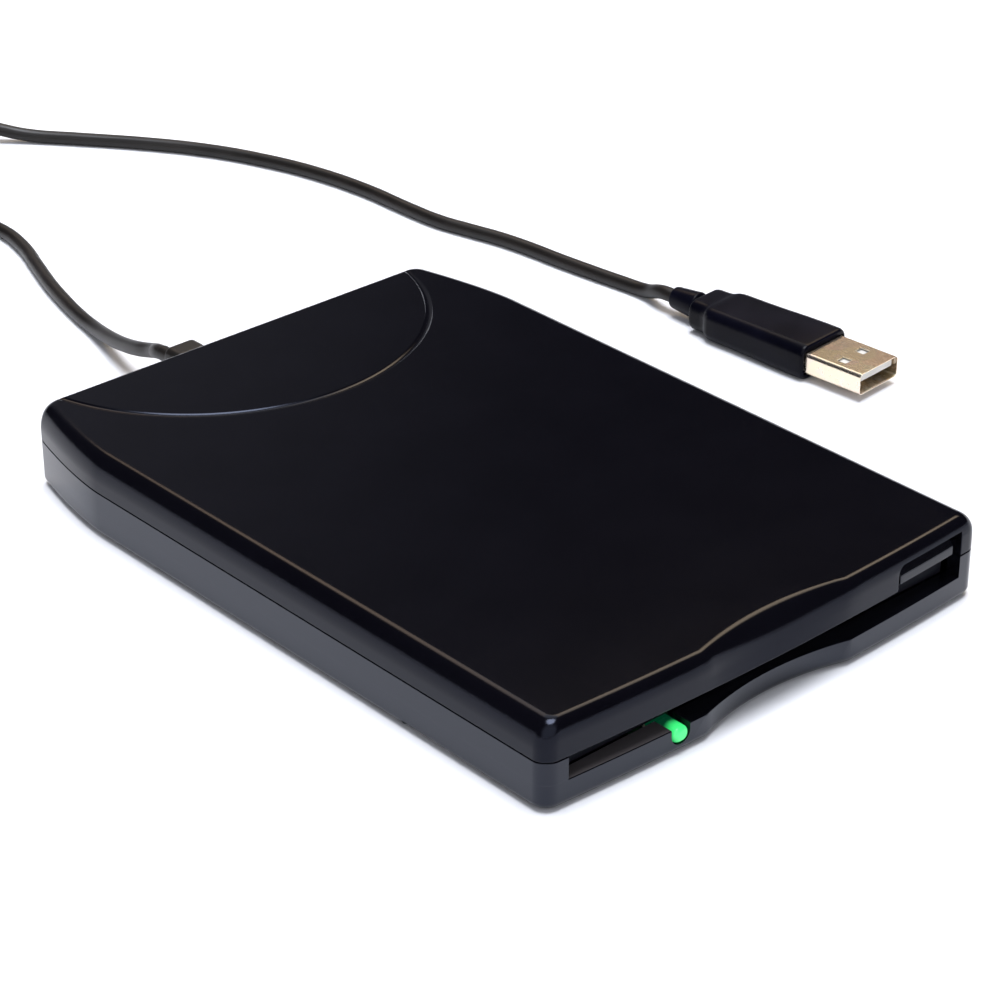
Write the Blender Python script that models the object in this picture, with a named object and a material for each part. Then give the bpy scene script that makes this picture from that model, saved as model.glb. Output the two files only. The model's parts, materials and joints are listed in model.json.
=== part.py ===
"""External USB floppy disk drive, modelled as an assembly of its separate pieces.

Metres, +Z up, the disk slot faces -Y. The origin lies under the middle of the case, on the
table that the drive stands on. The sizes below drive everything: the disk gives the carrier,
the carrier gives the slider and the chassis, and the chassis gives the case.
"""

import math

import bmesh
import bpy
from mathutils import Matrix, Vector

mm = 0.001

# Clearances that the whole drive shares
fit_gap = 0.3 * mm  # between two pieces that rest on each other
run_gap = 0.6 * mm  # between a sliding piece and a fixed one
overrun = 1.0 * mm  # how far a cutter reaches past the face that it opens

# The 3.5 inch disk that the drive takes
disk_width = 90.0 * mm
disk_length = 94.0 * mm
disk_hub_to_front_end = 45.5 * mm
disk_inset = 2.8 * mm  # how far behind the front wall a loaded disk lies
outer_track_radius = 39.5 * mm
track_pitch = 0.1875 * mm
track_steps = 79

# Case shells
foot_height = 0.4 * mm
floor_wall = 1.2 * mm
roof_wall = 1.6 * mm
side_wall = 1.8 * mm
rear_wall = 1.8 * mm
front_wall = 4.4 * mm
side_room = 0.7 * mm
front_bow = 1.94 * mm
corner_radius = 3.0 * mm
rear_corner_radius = 2.4 * mm
side_shoulder = 3.0 * mm
front_shoulder = 1.8 * mm
rear_shoulder = 1.5 * mm
bottom_edge = 1.5 * mm
split_gap = 0.3 * mm
tongue_height = 1.0 * mm
tongue_thickness = 0.8 * mm
rear_taper = 4.5 * mm
rear_taper_length = 24.5 * mm
taper_power = 1.5
scoop_half_width = 17.0 * mm
scoop_top_depth = 2.6 * mm
scoop_low_depth = 2.9 * mm
cavity_corner = 1.0 * mm
groove_radius = 43.1 * mm
groove_centre_behind_rear = 9.9 * mm
groove_width = 0.7 * mm
groove_depth = 0.25 * mm
edge_relief_length = 19.0 * mm
edge_relief_height = 0.7 * mm
edge_relief_depth = 1.0 * mm
edge_relief_from_front = 16.7 * mm

# How the plan outline of the case is divided into points
scoop_shares = (0.0, 0.3, 0.6, 0.85, 1.0)
wing_shares = (0.35, 0.7, 1.0)
taper_shares = (0.0, 0.25, 0.5, 0.75)
corner_steps = 4
shoulder_steps = 6

# Disk slot, eject button pocket and lamp notch in the front
slot_sill = 4.8 * mm
slot_height = 4.3 * mm
slot_side_room = 0.9 * mm
pocket_height = 4.7 * mm
pocket_length = 17.0 * mm
pocket_corner = 1.6 * mm
button_length = 14.4 * mm
button_height = 3.6 * mm
button_inset = 0.6 * mm
button_edge = 0.5 * mm
button_ridge = 0.5 * mm
button_low_room = 0.6 * mm
button_right_room = 1.9 * mm
stem_width = 7.0 * mm
stem_thickness = 1.2 * mm
clip_pin_radius = 0.8 * mm
lamp_place = -22.6 * mm
lamp_width = 3.4 * mm
lamp_height = 2.8 * mm
lamp_stand_out = 0.3 * mm
lamp_sill_gap = 0.1 * mm
lamp_pipe_length = 6.4 * mm
lamp_pipe_height = 2.1 * mm
led_length = 2.0 * mm
led_height = 1.6 * mm

# Dust door behind the slot
door_bay = 6.5 * mm
door_thickness = 0.8 * mm
door_side_room = 0.7 * mm
door_barrel_radius = 0.6 * mm
door_pin_radius = 0.5 * mm
door_pin_length = 1.4 * mm
door_overlap = 0.3 * mm
bearing_thickness = 1.0 * mm
bearing_reach = 1.4 * mm
door_spring_wire = 0.12 * mm
door_spring_radius = 0.9 * mm
door_spring_turns = 4
door_spring_pitch = 0.7 * mm
door_spring_inset = 1.2 * mm
door_spring_room = 1.0 * mm
door_spring_leg = 2.4 * mm

# Sheet metal, boards and screws of the mechanism
sheet = 0.5 * mm
slider_sheet = 0.6 * mm
wall_sheet = 0.6 * mm
board_thickness = 0.4 * mm
chassis_clip = 4.3 * mm
chassis_clip_length = 11.2 * mm
rear_wall_window_length = 18.0 * mm
rear_wall_window_height = 4.0 * mm
rear_wall_window_place = -30.0 * mm
bay_room = 0.5 * mm
bay_sill_step = 0.1 * mm
bay_extra_height = 0.1 * mm
flange_width = 5.0 * mm
arm_headroom = 2.0 * mm
eject_travel = 4.5 * mm
pin_radius = 0.6 * mm
pin_above_flange = 1.8 * mm
pin_slot_wall = 0.8 * mm
pin_places = (-40.0 * mm, 12.0 * mm)
slide_arm_front = 3.0 * mm
slide_arm_rear = 8.0 * mm
slider_notch_half = 12.0 * mm
slider_rail_width = 11.1 * mm
slider_notch_front = 2.0 * mm
slider_middle_rear = 6.0 * mm
slider_tab_width = 8.0 * mm
slider_tab_length = 6.0 * mm
slider_tab_place = 37.0 * mm
slider_window_width = 22.0 * mm
slider_window_length = 34.0 * mm
slider_window_place = 21.0 * mm
slider_window_front = -48.0 * mm
carrier_window_width = 18.0 * mm
carrier_window_length = 30.0 * mm
lid_window_width = 26.0 * mm
lid_window_length = 16.0 * mm
lid_window_place = 22.0 * mm
screw_inset = 10.3 * mm
screw_head_radius = 1.9 * mm
screw_head_height = 0.6 * mm
screw_radius = 1.0 * mm
screw_places = (-45.0 * mm, 36.0 * mm)
screw_recess = 1.1 * mm
screw_boss_radius = 3.4 * mm
screw_boss_height = 0.7 * mm
cross_width = 0.4 * mm
cross_length = 2.2 * mm
cross_depth = 0.4 * mm
post_radius = 3.2 * mm
post_from_rear = 6.4 * mm
post_recess = 4.6 * mm
case_screw_head_height = 1.3 * mm
case_screw_length = 8.0 * mm
foot_radius = 4.0 * mm
foot_recess = 0.6 * mm
foot_inset = 11.8 * mm
foot_front_inset = 11.7 * mm
foot_rear_inset = 21.7 * mm
foot_edge = 0.15 * mm

# Spindle motor
rotor_radius = 21.5 * mm
rotor_rim = 1.0 * mm
rotor_plate = 0.4 * mm
rotor_room = 2.0 * mm
magnet_thickness = 0.8 * mm
stator_thickness = 0.5 * mm
stator_teeth = 12
stator_core_radius = 8.0 * mm
stator_bore_radius = 5.0 * mm
tooth_width = 3.0 * mm
tooth_tip_width = 8.6 * mm
tooth_tip_depth = 1.8 * mm
bearing_bore_room = 0.3 * mm
shaft_radius = 2.0 * mm
chuck_radius = 11.0 * mm
chuck_thickness = 0.4 * mm
chuck_slot_radius = 8.0 * mm
drive_pin_radius = 1.0 * mm
drive_pin_height = 0.9 * mm
magnet_lift = 0.1 * mm
bearing_radius = 4.0 * mm

# Head carriage, its rod and its screw
carriage_run_room = 1.2 * mm
carriage_length = 8.0 * mm
carriage_left = 14.0 * mm
carriage_right = 12.0 * mm
carriage_height = 5.6 * mm
carriage_rear_room = 3.6875 * mm  # behind the carriage when its heads are at the outer track
carriage_lift = 0.9 * mm
head_size = 3.0 * mm
head_length = 4.0 * mm
lower_arm_half_width = 4.5 * mm
rod_radius = 1.2 * mm
rod_place = -9.0 * mm
rod_above_plate = 2.9 * mm
rod_tab_width = 7.0 * mm
screw_place = 24.0 * mm
screw_above_plate = 5.1 * mm
lead_screw_radius = 1.2 * mm
journal_radius = 0.8 * mm
nut_length = 3.0 * mm
stepper_radius = 4.7 * mm
stepper_length = 6.4 * mm
stepper_flange = 0.8 * mm
arm_pivot_radius = 1.2 * mm
arm_pin_radius = 0.5 * mm
arm_thickness = 0.8 * mm
arm_front_half_width = 2.6 * mm
arm_rear_half_width = 4.4 * mm
ear_thickness = 1.4 * mm
ear_radius = 1.5 * mm
pivot_above_body = 1.4 * mm
pivot_from_rear = 2.0 * mm
ear_inner = 5.5 * mm
lower_arm_thickness = 1.1 * mm
lower_arm_link = 5.0 * mm
lower_arm_room = 3.5 * mm
rod_tab_rise = 2.4 * mm
screw_tab_half_width = 3.0 * mm
screw_journal_depth = 3.0 * mm
screw_thread_length = 18.9 * mm
stepper_flange_half_width = 6.0 * mm
barrel_half_width = 4.8 * mm
upper_head_height = 1.1 * mm
upper_arm_rib = 0.6 * mm
upper_arm_rib_height = 1.4 * mm
nut_half_height = 2.0 * mm

# Slider spring
spring_wire = 0.2 * mm
spring_radius = 0.7 * mm
spring_turns = 8
spring_pitch = 0.9 * mm
spring_place = 21.0 * mm
spring_turn_steps = 12
spring_leg = 13.0 * mm
hook_width = 2.4 * mm
hook_height = 1.0 * mm
lug_place = -34.0 * mm
lug_hole_radius = 0.5 * mm
carrier_window_drop = 0.6 * mm

# Shutter lever on the carrier
lever_length = 23.0 * mm
lever_pivot_inset = 4.5 * mm
lever_pivot_from_end = 5.0 * mm
lever_width = 3.0 * mm
lever_pin_radius = 0.8 * mm
lever_post_radius = 1.0 * mm
lever_turn = math.radians(45.0)
lever_gap = 0.4 * mm
lever_hub_radius = 2.2 * mm
lever_pin_length = 3.3 * mm
lever_slot_room = 0.4 * mm
carrier_cut_half = 12.0 * mm
carrier_cut_front = 2.0 * mm

# Rear board, ribbon and cord socket
rear_bay = 12.7 * mm
usb_board_half_width = 28.0 * mm
usb_board_depth = 8.0 * mm
usb_board_thickness = 0.8 * mm
usb_board_lift = 2.3 * mm
usb_board_rear_room = 1.3 * mm
board_post_radius = 1.5 * mm
board_post_place = 24.0 * mm
chip_size = 6.4 * mm
chip_height = 1.0 * mm
chip_place = 16.0 * mm
ribbon_width = 14.0 * mm
ribbon_thickness = 0.25 * mm
ribbon_socket_height = 1.5 * mm
ribbon_socket_depth = 2.2 * mm
ribbon_place = 2.0 * mm
cord_socket_width = 7.4 * mm
cord_socket_depth = 4.0 * mm
cord_socket_height = 2.6 * mm
cord_socket_front = 0.9 * mm
board_pin_radius = 0.7 * mm
ribbon_socket_inset = 0.3 * mm
ribbon_loop_shares = ((0.0, 0.0), (0.45, 0.0), (0.62, 0.06), (0.72, 0.3), (0.78, 0.7), (0.88, 0.95), (1.0, 1.0))
drive_board_side_room = 1.6 * mm
drive_board_rear_inset = 5.2 * mm
drive_board_front_inset = 1.6 * mm
lamp_tongue_half_width = 4.6 * mm

# Cord, its strain relief and its plug
cord_radius = 1.5 * mm
inner_lead_radius = 1.2 * mm
relief_place = -10.5 * mm
relief_height_from_floor = 9.4 * mm
relief_block_width = 7.6 * mm
relief_block_height = 8.4 * mm
relief_block_depth = 4.3 * mm
relief_neck_width = 5.2 * mm
relief_neck_height = 5.6 * mm
relief_flange_depth = 2.2 * mm
relief_flange_height = 6.4 * mm
relief_nose_radius = 2.7 * mm
relief_nose_end_radius = 2.1 * mm
relief_nose_length = 5.4 * mm
relief_edge = 0.7 * mm
plug_yaw = math.radians(4.5)
plug_tip = (94.4 * mm, 5.9 * mm)
grip_length = 31.0 * mm
grip_width = 14.0 * mm
grip_rear_width = 10.6 * mm
grip_height = 7.6 * mm
grip_rear_height = 6.6 * mm
grip_edge = 1.0 * mm
grip_shares = ((0.0, 0.0, 0.0), (0.12, 0.0, 0.0), (0.5, 0.3, 0.45), (0.85, 0.8, 1.0), (1.0, 1.0, 1.0))
grip_corner = 2.4 * mm
shell_corner = 0.6 * mm
shell_seat = 2.0 * mm
round_steps = 4
collar_length = 6.6 * mm
collar_radius = 2.9 * mm
collar_end_radius = 2.3 * mm
neck_length = 1.0 * mm
neck_radius = 2.0 * mm
shell_width = 12.0 * mm
shell_height = 4.5 * mm
shell_length = 13.5 * mm
shell_sheet = 0.3 * mm
shell_window = 2.2 * mm
shell_window_place = 2.8 * mm
shell_window_from_tip = 5.2 * mm
tongue_plate_height = 1.7 * mm
tongue_side_room = 0.35 * mm
tongue_tip_inset = 0.9 * mm

# Route of the cord over the table, from the strain relief to the coil and from there to the plug
lead_route = (
    (-9.12 * mm, 86.4 * mm, 9.3 * mm),
    (-8.65 * mm, 92.2 * mm, 7.4 * mm),
    (-7.41 * mm, 99.0 * mm, 5.4 * mm),
    (-5.48 * mm, 107.0 * mm, 3.4 * mm),
    (-3.42 * mm, 115.2 * mm, 1.9 * mm),
    (-1.96 * mm, 122.5 * mm, 1.5 * mm),
    (-0.11 * mm, 130.5 * mm, 1.5 * mm),
    (2.3 * mm, 139.2 * mm, 1.5 * mm),
    (5.6 * mm, 149.0 * mm, 1.5 * mm),
    (8.8 * mm, 158.6 * mm, 1.5 * mm),
    (10.3 * mm, 168.5 * mm, 1.5 * mm),
    (9.0 * mm, 178.5 * mm, 1.5 * mm),
    (4.8 * mm, 188.5 * mm, 1.5 * mm),
    (-0.6 * mm, 197.5 * mm, 1.5 * mm),
)
tail_route = (
    (37.5 * mm, 217.6 * mm, 3.9 * mm),
    (44.5 * mm, 210.4 * mm, 1.9 * mm),
    (53.0 * mm, 200.5 * mm, 1.5 * mm),
    (62.0 * mm, 189.0 * mm, 1.5 * mm),
    (70.5 * mm, 176.0 * mm, 1.5 * mm),
    (76.8 * mm, 162.0 * mm, 1.5 * mm),
    (81.0 * mm, 147.5 * mm, 1.5 * mm),
    (83.0 * mm, 132.8 * mm, 1.5 * mm),
    (83.3 * mm, 118.7 * mm, 1.5 * mm),
    (83.9 * mm, 109.3 * mm, 1.5 * mm),
    (85.7 * mm, 101.5 * mm, 1.5 * mm),
    (87.6 * mm, 93.8 * mm, 1.5 * mm),
    (88.8 * mm, 85.6 * mm, 1.5 * mm),
    (89.5 * mm, 76.9 * mm, 1.5 * mm),
    (90.4 * mm, 68.7 * mm, 1.5 * mm),
    (91.4 * mm, 60.9 * mm, 1.5 * mm),
    (92.0 * mm, 53.3 * mm, 1.9 * mm),
)
cord_point_spacing = 7.0 * mm
cord_steps = 12  # points that smooth each stretch of the route before it is divided evenly

# Cord coil, put away on the table
coil_turns = 2.375
coil_turn_steps = 24
coil_radius = 19.2 * mm
coil_spacing = 3.5 * mm
coil_centre = (14.0 * mm, 214.0 * mm)

# Levels, from the table up
case_bottom = foot_height
floor_top = case_bottom + floor_wall
slot_bottom = case_bottom + slot_sill
split_level = slot_bottom + slot_height
board_bottom = floor_top + fit_gap
board_top = board_bottom + board_thickness
plate_bottom = board_top + fit_gap
plate_top = plate_bottom + sheet
flange_top = slot_bottom - bay_sill_step
flange_bottom = flange_top - sheet
carrier_drop = flange_bottom - plate_top - fit_gap
bay_top = flange_top + slot_height + bay_extra_height
carrier_top = bay_top + sheet
lever_bottom = carrier_top + fit_gap
lever_top = lever_bottom + sheet
slider_bottom = lever_top + lever_gap
slider_top = slider_bottom + slider_sheet
lid_bottom = slider_top + arm_headroom
lid_top = lid_bottom + sheet
ceiling = lid_top + fit_gap
case_top = ceiling + roof_wall
chassis_wall_top = lid_bottom - fit_gap

# Half widths, from the disk out
bay_half = disk_width / 2 + bay_room
carrier_half = bay_half + sheet
arm_inner = carrier_half + bay_room
arm_outer = arm_inner + slider_sheet
chassis_inner = arm_outer + run_gap
chassis_half = chassis_inner + wall_sheet
cavity_half = chassis_half + side_room
case_half = cavity_half + side_wall
slot_half = disk_width / 2 + slot_side_room
screw_place_x = chassis_half - screw_inset
drive_board_half = screw_place_x - screw_boss_radius - drive_board_side_room

# Places along Y, from the front back
track_travel = track_steps * track_pitch
carriage_bay = carriage_run_room + track_travel + carriage_length + carriage_rear_room
chassis_depth = disk_inset + disk_length + carriage_bay - door_bay
case_depth = front_wall + door_bay + chassis_depth + rear_bay + rear_wall
front_face = -case_depth / 2
rear_face = case_depth / 2
cavity_front = front_face + front_wall
cavity_rear = rear_face - rear_wall
chassis_front = cavity_front + door_bay
chassis_rear = chassis_front + chassis_depth
carrier_front = chassis_front + fit_gap
disk_end = cavity_front + disk_inset + disk_length
carrier_rear = disk_end - fit_gap
spindle_y = disk_end - disk_hub_to_front_end
head_y = spindle_y + outer_track_radius
carriage_front = disk_end + carriage_run_room + track_travel
carriage_rear = carriage_front + carriage_length
rod_level = plate_top + rod_above_plate
screw_level = plate_top + screw_above_plate
tab_front = disk_end + fit_gap
arm_level = plate_top + carriage_lift + carriage_height + pivot_above_body
arm_y = carriage_rear - pivot_from_rear
relief_level = floor_top + relief_height_from_floor
pin_level = flange_top + pin_above_flange
lever_x = lever_pivot_inset - bay_half
lever_y = carrier_rear - lever_pivot_from_end
rotor_level = plate_top + fit_gap
lamp_board_front = front_face + front_wall + disk_inset
door_y = cavity_front + fit_gap + door_spring_radius + door_spring_wire
door_level = split_level + door_barrel_radius
case_screw_seat = case_bottom + post_recess
mechanism_screw_seat = case_bottom + screw_recess
foot_seat = case_bottom + foot_recess
usb_board_bottom = floor_top + usb_board_lift
usb_board_middle = cavity_rear - usb_board_rear_room - usb_board_depth / 2
head_rear = cavity_front - fit_gap
skirt_rear = carrier_front + eject_travel - slider_tab_length - run_gap
skirt_bottom = slider_bottom
clip_y = carrier_front + eject_travel - slider_tab_length / 2

# Colours, roughness and metal
black_plastic = ((0.012, 0.012, 0.016), 0.28, 0.0)
dull_plastic = ((0.02, 0.02, 0.023), 0.5, 0.0)
white_plastic = ((0.75, 0.74, 0.7), 0.45, 0.0)
rubber = ((0.018, 0.018, 0.018), 0.8, 0.0)
steel = ((0.62, 0.62, 0.6), 0.35, 1.0)
brass = ((0.75, 0.55, 0.25), 0.3, 1.0)
ferrite = ((0.05, 0.045, 0.045), 0.6, 0.2)
board_green = ((0.02, 0.16, 0.07), 0.45, 0.0)
ribbon_tan = ((0.55, 0.3, 0.1), 0.4, 0.0)
green_lens = ((0.1, 0.85, 0.35), 0.2, 0.0)


def clear_scene():
    for old in list(bpy.data.objects):
        bpy.data.objects.remove(old)


def object_from(name, bm):
    """A named object made from a bmesh, which it uses up."""
    bmesh.ops.recalc_face_normals(bm, faces=bm.faces)
    mesh = bpy.data.meshes.new(name)
    bm.to_mesh(mesh)
    bm.free()
    made = bpy.data.objects.new(name, mesh)
    bpy.context.collection.objects.link(made)
    return made


def loft(name, rings):
    """One closed body through rings of as many points each, capped at both ends."""
    bm = bmesh.new()
    laid = [[bm.verts.new(point) for point in ring] for ring in rings]
    for low, high in zip(laid, laid[1:]):
        for i in range(len(low)):
            j = (i + 1) % len(low)
            bm.faces.new((low[i], low[j], high[j], high[i]))
    bm.faces.new(laid[0])
    bm.faces.new(laid[-1])
    return object_from(name, bm)


def prism(name, outline, low, high):
    """An upright prism over an outline of (x, y) points."""
    return loft(name, [[(x, y, z) for x, y in outline] for z in (low, high)])


def side_prism(name, outline, left, right):
    """A prism along X over an outline of (y, z) points."""
    return loft(name, [[(x, y, z) for y, z in outline] for x in (left, right)])


def front_prism(name, outline, front, rear):
    """A prism along Y over an outline of (x, z) points."""
    return loft(name, [[(x, y, z) for x, z in outline] for y in (front, rear)])


def block(name, across, along, up, edge=0.0):
    """A box from three (low, high) pairs, its edges rounded off by edge."""
    (x0, x1), (y0, y1), (z0, z1) = across, along, up
    made = prism(name, [(x0, y0), (x1, y0), (x1, y1), (x0, y1)], z0, z1)
    if edge:
        round_edges(made, edge)
    return made


def round_edges(made, width, segments=2, sharper=30.0):
    """Bevels the sharp edges of a piece and keeps the modifier on it."""
    bevel = made.modifiers.new("rounded edges", "BEVEL")
    bevel.width = width
    bevel.segments = segments
    bevel.limit_method = "ANGLE"
    bevel.angle_limit = math.radians(sharper)
    return made


def circle(radius, sides, centre=(0.0, 0.0), start=0.0):
    step = math.tau / sides
    return [
        (centre[0] + radius * math.cos(start + i * step), centre[1] + radius * math.sin(start + i * step))
        for i in range(sides)
    ]


def upright(name, centre, radius, low, high, sides=24):
    return prism(name, circle(radius, sides, centre), low, high)


def lengthwise(name, centre, radius, front, rear, sides=24):
    """A round bar along Y, its centre given as (x, z)."""
    return front_prism(name, circle(radius, sides, centre), front, rear)


def crosswise(name, centre, radius, left, right, sides=16):
    """A round bar along X, its centre given as (y, z)."""
    return side_prism(name, circle(radius, sides, centre), left, right)


def turned(name, profile, centre, sides=32):
    """A body turned about an upright axis, its profile given as (radius, z) points."""
    bm = bmesh.new()
    rings = []
    for radius, z in profile:
        rings.append([bm.verts.new((x, y, z)) for x, y in circle(radius, sides, centre)])
    pairs = list(zip(rings, rings[1:] + rings[:1]))
    for low, high in pairs:
        for i in range(sides):
            j = (i + 1) % sides
            bm.faces.new((low[i], low[j], high[j], high[i]))
    return object_from(name, bm)


def combine(made, operation, tools):
    """Joins tools to a piece, or cuts them out of it, and uses them up."""
    for tool in tools:
        modifier = made.modifiers.new(operation.lower(), "BOOLEAN")
        modifier.operation = operation
        modifier.solver = "EXACT"
        modifier.object = tool
        depsgraph = bpy.context.evaluated_depsgraph_get()
        mesh = bpy.data.meshes.new_from_object(made.evaluated_get(depsgraph))
        made.modifiers.clear()
        made.data = mesh
        mesh.name = made.name
        bpy.data.objects.remove(tool)
    return made


def join(made, *tools):
    return combine(made, "UNION", tools)


def cut(made, *tools):
    return combine(made, "DIFFERENCE", tools)


def about(made, origin):
    """Moves a piece's origin to a point on its joint's axis and leaves its shape in place."""
    made.data.transform(Matrix.Translation(-Vector(origin)))
    made.location = origin
    return made


def finish(made, look, smooth_below=35.0):
    """Gives a piece its material and smooth shading between near-flat faces."""
    colour, roughness, metallic = look
    stuff = bpy.data.materials.new(made.name)
    stuff.use_nodes = True
    shader = stuff.node_tree.nodes["Principled BSDF"]
    shader.inputs["Base Color"].default_value = (*colour, 1.0)
    shader.inputs["Roughness"].default_value = roughness
    shader.inputs["Metallic"].default_value = metallic
    made.data.materials.clear()
    made.data.materials.append(stuff)
    if made.type == "MESH":
        made.data.shade_smooth()
        made.data.set_sharp_from_angle(angle=math.radians(smooth_below))
    return made


# Plan outlines of the case


def bow(x):
    """How far the bowed front stands back from its foremost point."""
    return front_bow * (x / case_half) ** 2


def plan_outline(half, front, rear, corner, rear_corner, scoop=0.0, bowed=1.0):
    """Plan outline of the case, anticlockwise from the middle of its front."""
    run = half - corner - scoop_half_width
    across = [share * scoop_half_width for share in scoop_shares]
    across += [scoop_half_width + share * run for share in wing_shares]
    right = []
    for x in across:
        hollow = scoop * max(0.0, 1.0 - (x / scoop_half_width) ** 2)
        right.append((x, front + bowed * bow(x) + hollow))
    turn_x, turn_y = right[-1]
    for i in range(1, corner_steps + 1):
        angle = (i / corner_steps - 1.0) * math.pi / 2
        right.append((turn_x + corner * math.cos(angle), turn_y + corner * (1.0 + math.sin(angle))))
    taper_start = rear_face - rear_taper_length
    lean = math.atan(rear_taper * taper_power / rear_taper_length)
    turn_start = rear - rear_corner * (1.0 - math.sin(lean))

    def side(y):
        share = max(0.0, (y - taper_start) / rear_taper_length)
        return half - rear_taper * share**taper_power

    for share in taper_shares:
        y = taper_start + share * (turn_start - taper_start)
        right.append((side(y), y))
    turn_x = side(turn_start) - rear_corner * math.cos(lean)
    for i in range(corner_steps + 1):
        angle = lean + i / corner_steps * (math.pi / 2 - lean)
        x = turn_x + rear_corner * math.cos(angle)
        right.append((x, rear - rear_corner * (1.0 - math.sin(angle))))
    right.append((0.0, rear))
    return right + [(-x, y) for x, y in reversed(right[1:-1])]


def edge_inset(radius, level, edge_level):
    """How far a rounded edge has drawn in from the wall at a level."""
    into = max(0.0, radius - abs(edge_level - level))
    return radius - math.sqrt(radius**2 - into**2)


def shell_ring(level, edge_level, radii, scoop):
    """Outline of the case at a level, its side, front and rear edges rounded by the radii."""
    side_in, front_in, rear_in = [edge_inset(radius, level, edge_level) for radius in radii]
    corner = corner_radius - side_in / 2
    outline = plan_outline(
        case_half - side_in,
        front_face + front_in,
        rear_face - rear_in,
        corner,
        rear_corner_radius,
        scoop,
    )
    return [(x, y, level) for x, y in outline]


def cavity_cutter(low, high):
    outline = plan_outline(cavity_half, cavity_front, cavity_rear, cavity_corner, cavity_corner, bowed=0.0)
    return prism("cavity", outline, low, high)


def joint_cutter(name, beyond, low, high):
    """The tongue along the sides and the rear of the joint, or the rebate round it."""
    inset = side_wall - tongue_thickness - beyond
    outline = plan_outline(
        case_half - inset,
        chassis_front - beyond,
        rear_face - inset,
        cavity_corner,
        rear_corner_radius,
        bowed=0.0,
    )
    return prism(name, outline, low, high)


def relief_notch():
    half = relief_neck_width / 2 + fit_gap
    high = relief_neck_height / 2 + fit_gap
    return block(
        "relief_notch",
        (relief_place - half, relief_place + half),
        (cavity_rear - overrun, rear_face + overrun),
        (relief_level - high, relief_level + high),
    )


def case_screw_places():
    return [(side * screw_place_x, cavity_rear - post_from_rear) for side in (-1, 1)]


def mechanism_screw_places():
    return [(side * screw_place_x, y) for side in (-1, 1) for y in screw_places]


def foot_places():
    across = case_half - foot_inset
    along = (front_face + foot_front_inset, rear_face - foot_rear_inset)
    return [(side * across, y) for side in (-1, 1) for y in along]


# Pieces of the case


def make_top_cover():
    levels = [split_level]
    for i in range(shoulder_steps + 1):
        rise = math.sin(i / shoulder_steps * math.pi / 2)
        levels.append(case_top - side_shoulder * (1.0 - rise))
    radii = (side_shoulder, front_shoulder, rear_shoulder)
    rings = []
    for level in levels:
        depth = scoop_top_depth * (level - split_level) / (case_top - split_level)
        rings.append(shell_ring(level, case_top, radii, depth))
    cover = loft("top_cover", rings)
    rebate_top = split_level - split_gap + tongue_height + fit_gap
    cut(
        cover,
        cavity_cutter(split_level - overrun, ceiling),
        joint_cutter("rebate", fit_gap, split_level - overrun, rebate_top),
    )
    for side in (-1, 1):
        near = side * (slot_half - fit_gap)
        across = sorted((near, near + side * bearing_thickness))
        hanger = block(
            "door_bearing",
            across,
            (door_y - door_barrel_radius, door_y + bearing_reach),
            (door_level - bearing_reach, ceiling + fit_gap),
        )
        join(cover, hanger)
    reach = slot_half + bearing_thickness
    hole = crosswise("bearing_hole", (door_y, door_level), door_pin_radius + fit_gap, -reach, reach)
    for place in case_screw_places():
        join(cover, upright("post", place, post_radius, split_level, ceiling + fit_gap))
    cut(cover, hole, relief_notch(), pocket_cutter(), groove_cutter())
    for place in case_screw_places():
        tip = case_screw_seat - fit_gap + case_screw_length + fit_gap
        cut(cover, upright("screw_hole", place, screw_radius + fit_gap, split_level - overrun, tip))
    return finish(cover, black_plastic)


def pocket_cutter():
    left = slot_half - pocket_length
    top = split_level + pocket_height
    outline = [(slot_half, split_level - overrun), (slot_half, top)]
    for i in range(corner_steps + 1):
        angle = (1.0 + i / corner_steps) * math.pi / 2
        x = left + pocket_corner * (1.0 + math.cos(angle))
        outline.append((x, top - pocket_corner * (1.0 - math.sin(angle))))
    outline.append((left, split_level - overrun))
    return front_prism("pocket", outline, front_face - overrun, cavity_front + overrun)


def groove_cutter():
    low = case_top - groove_depth
    high = case_top + overrun
    inner = groove_radius - groove_width / 2
    outer = groove_radius + groove_width / 2
    centre = (0.0, rear_face + groove_centre_behind_rear)
    return turned("groove", [(inner, low), (outer, low), (outer, high), (inner, high)], centre, 96)


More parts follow.
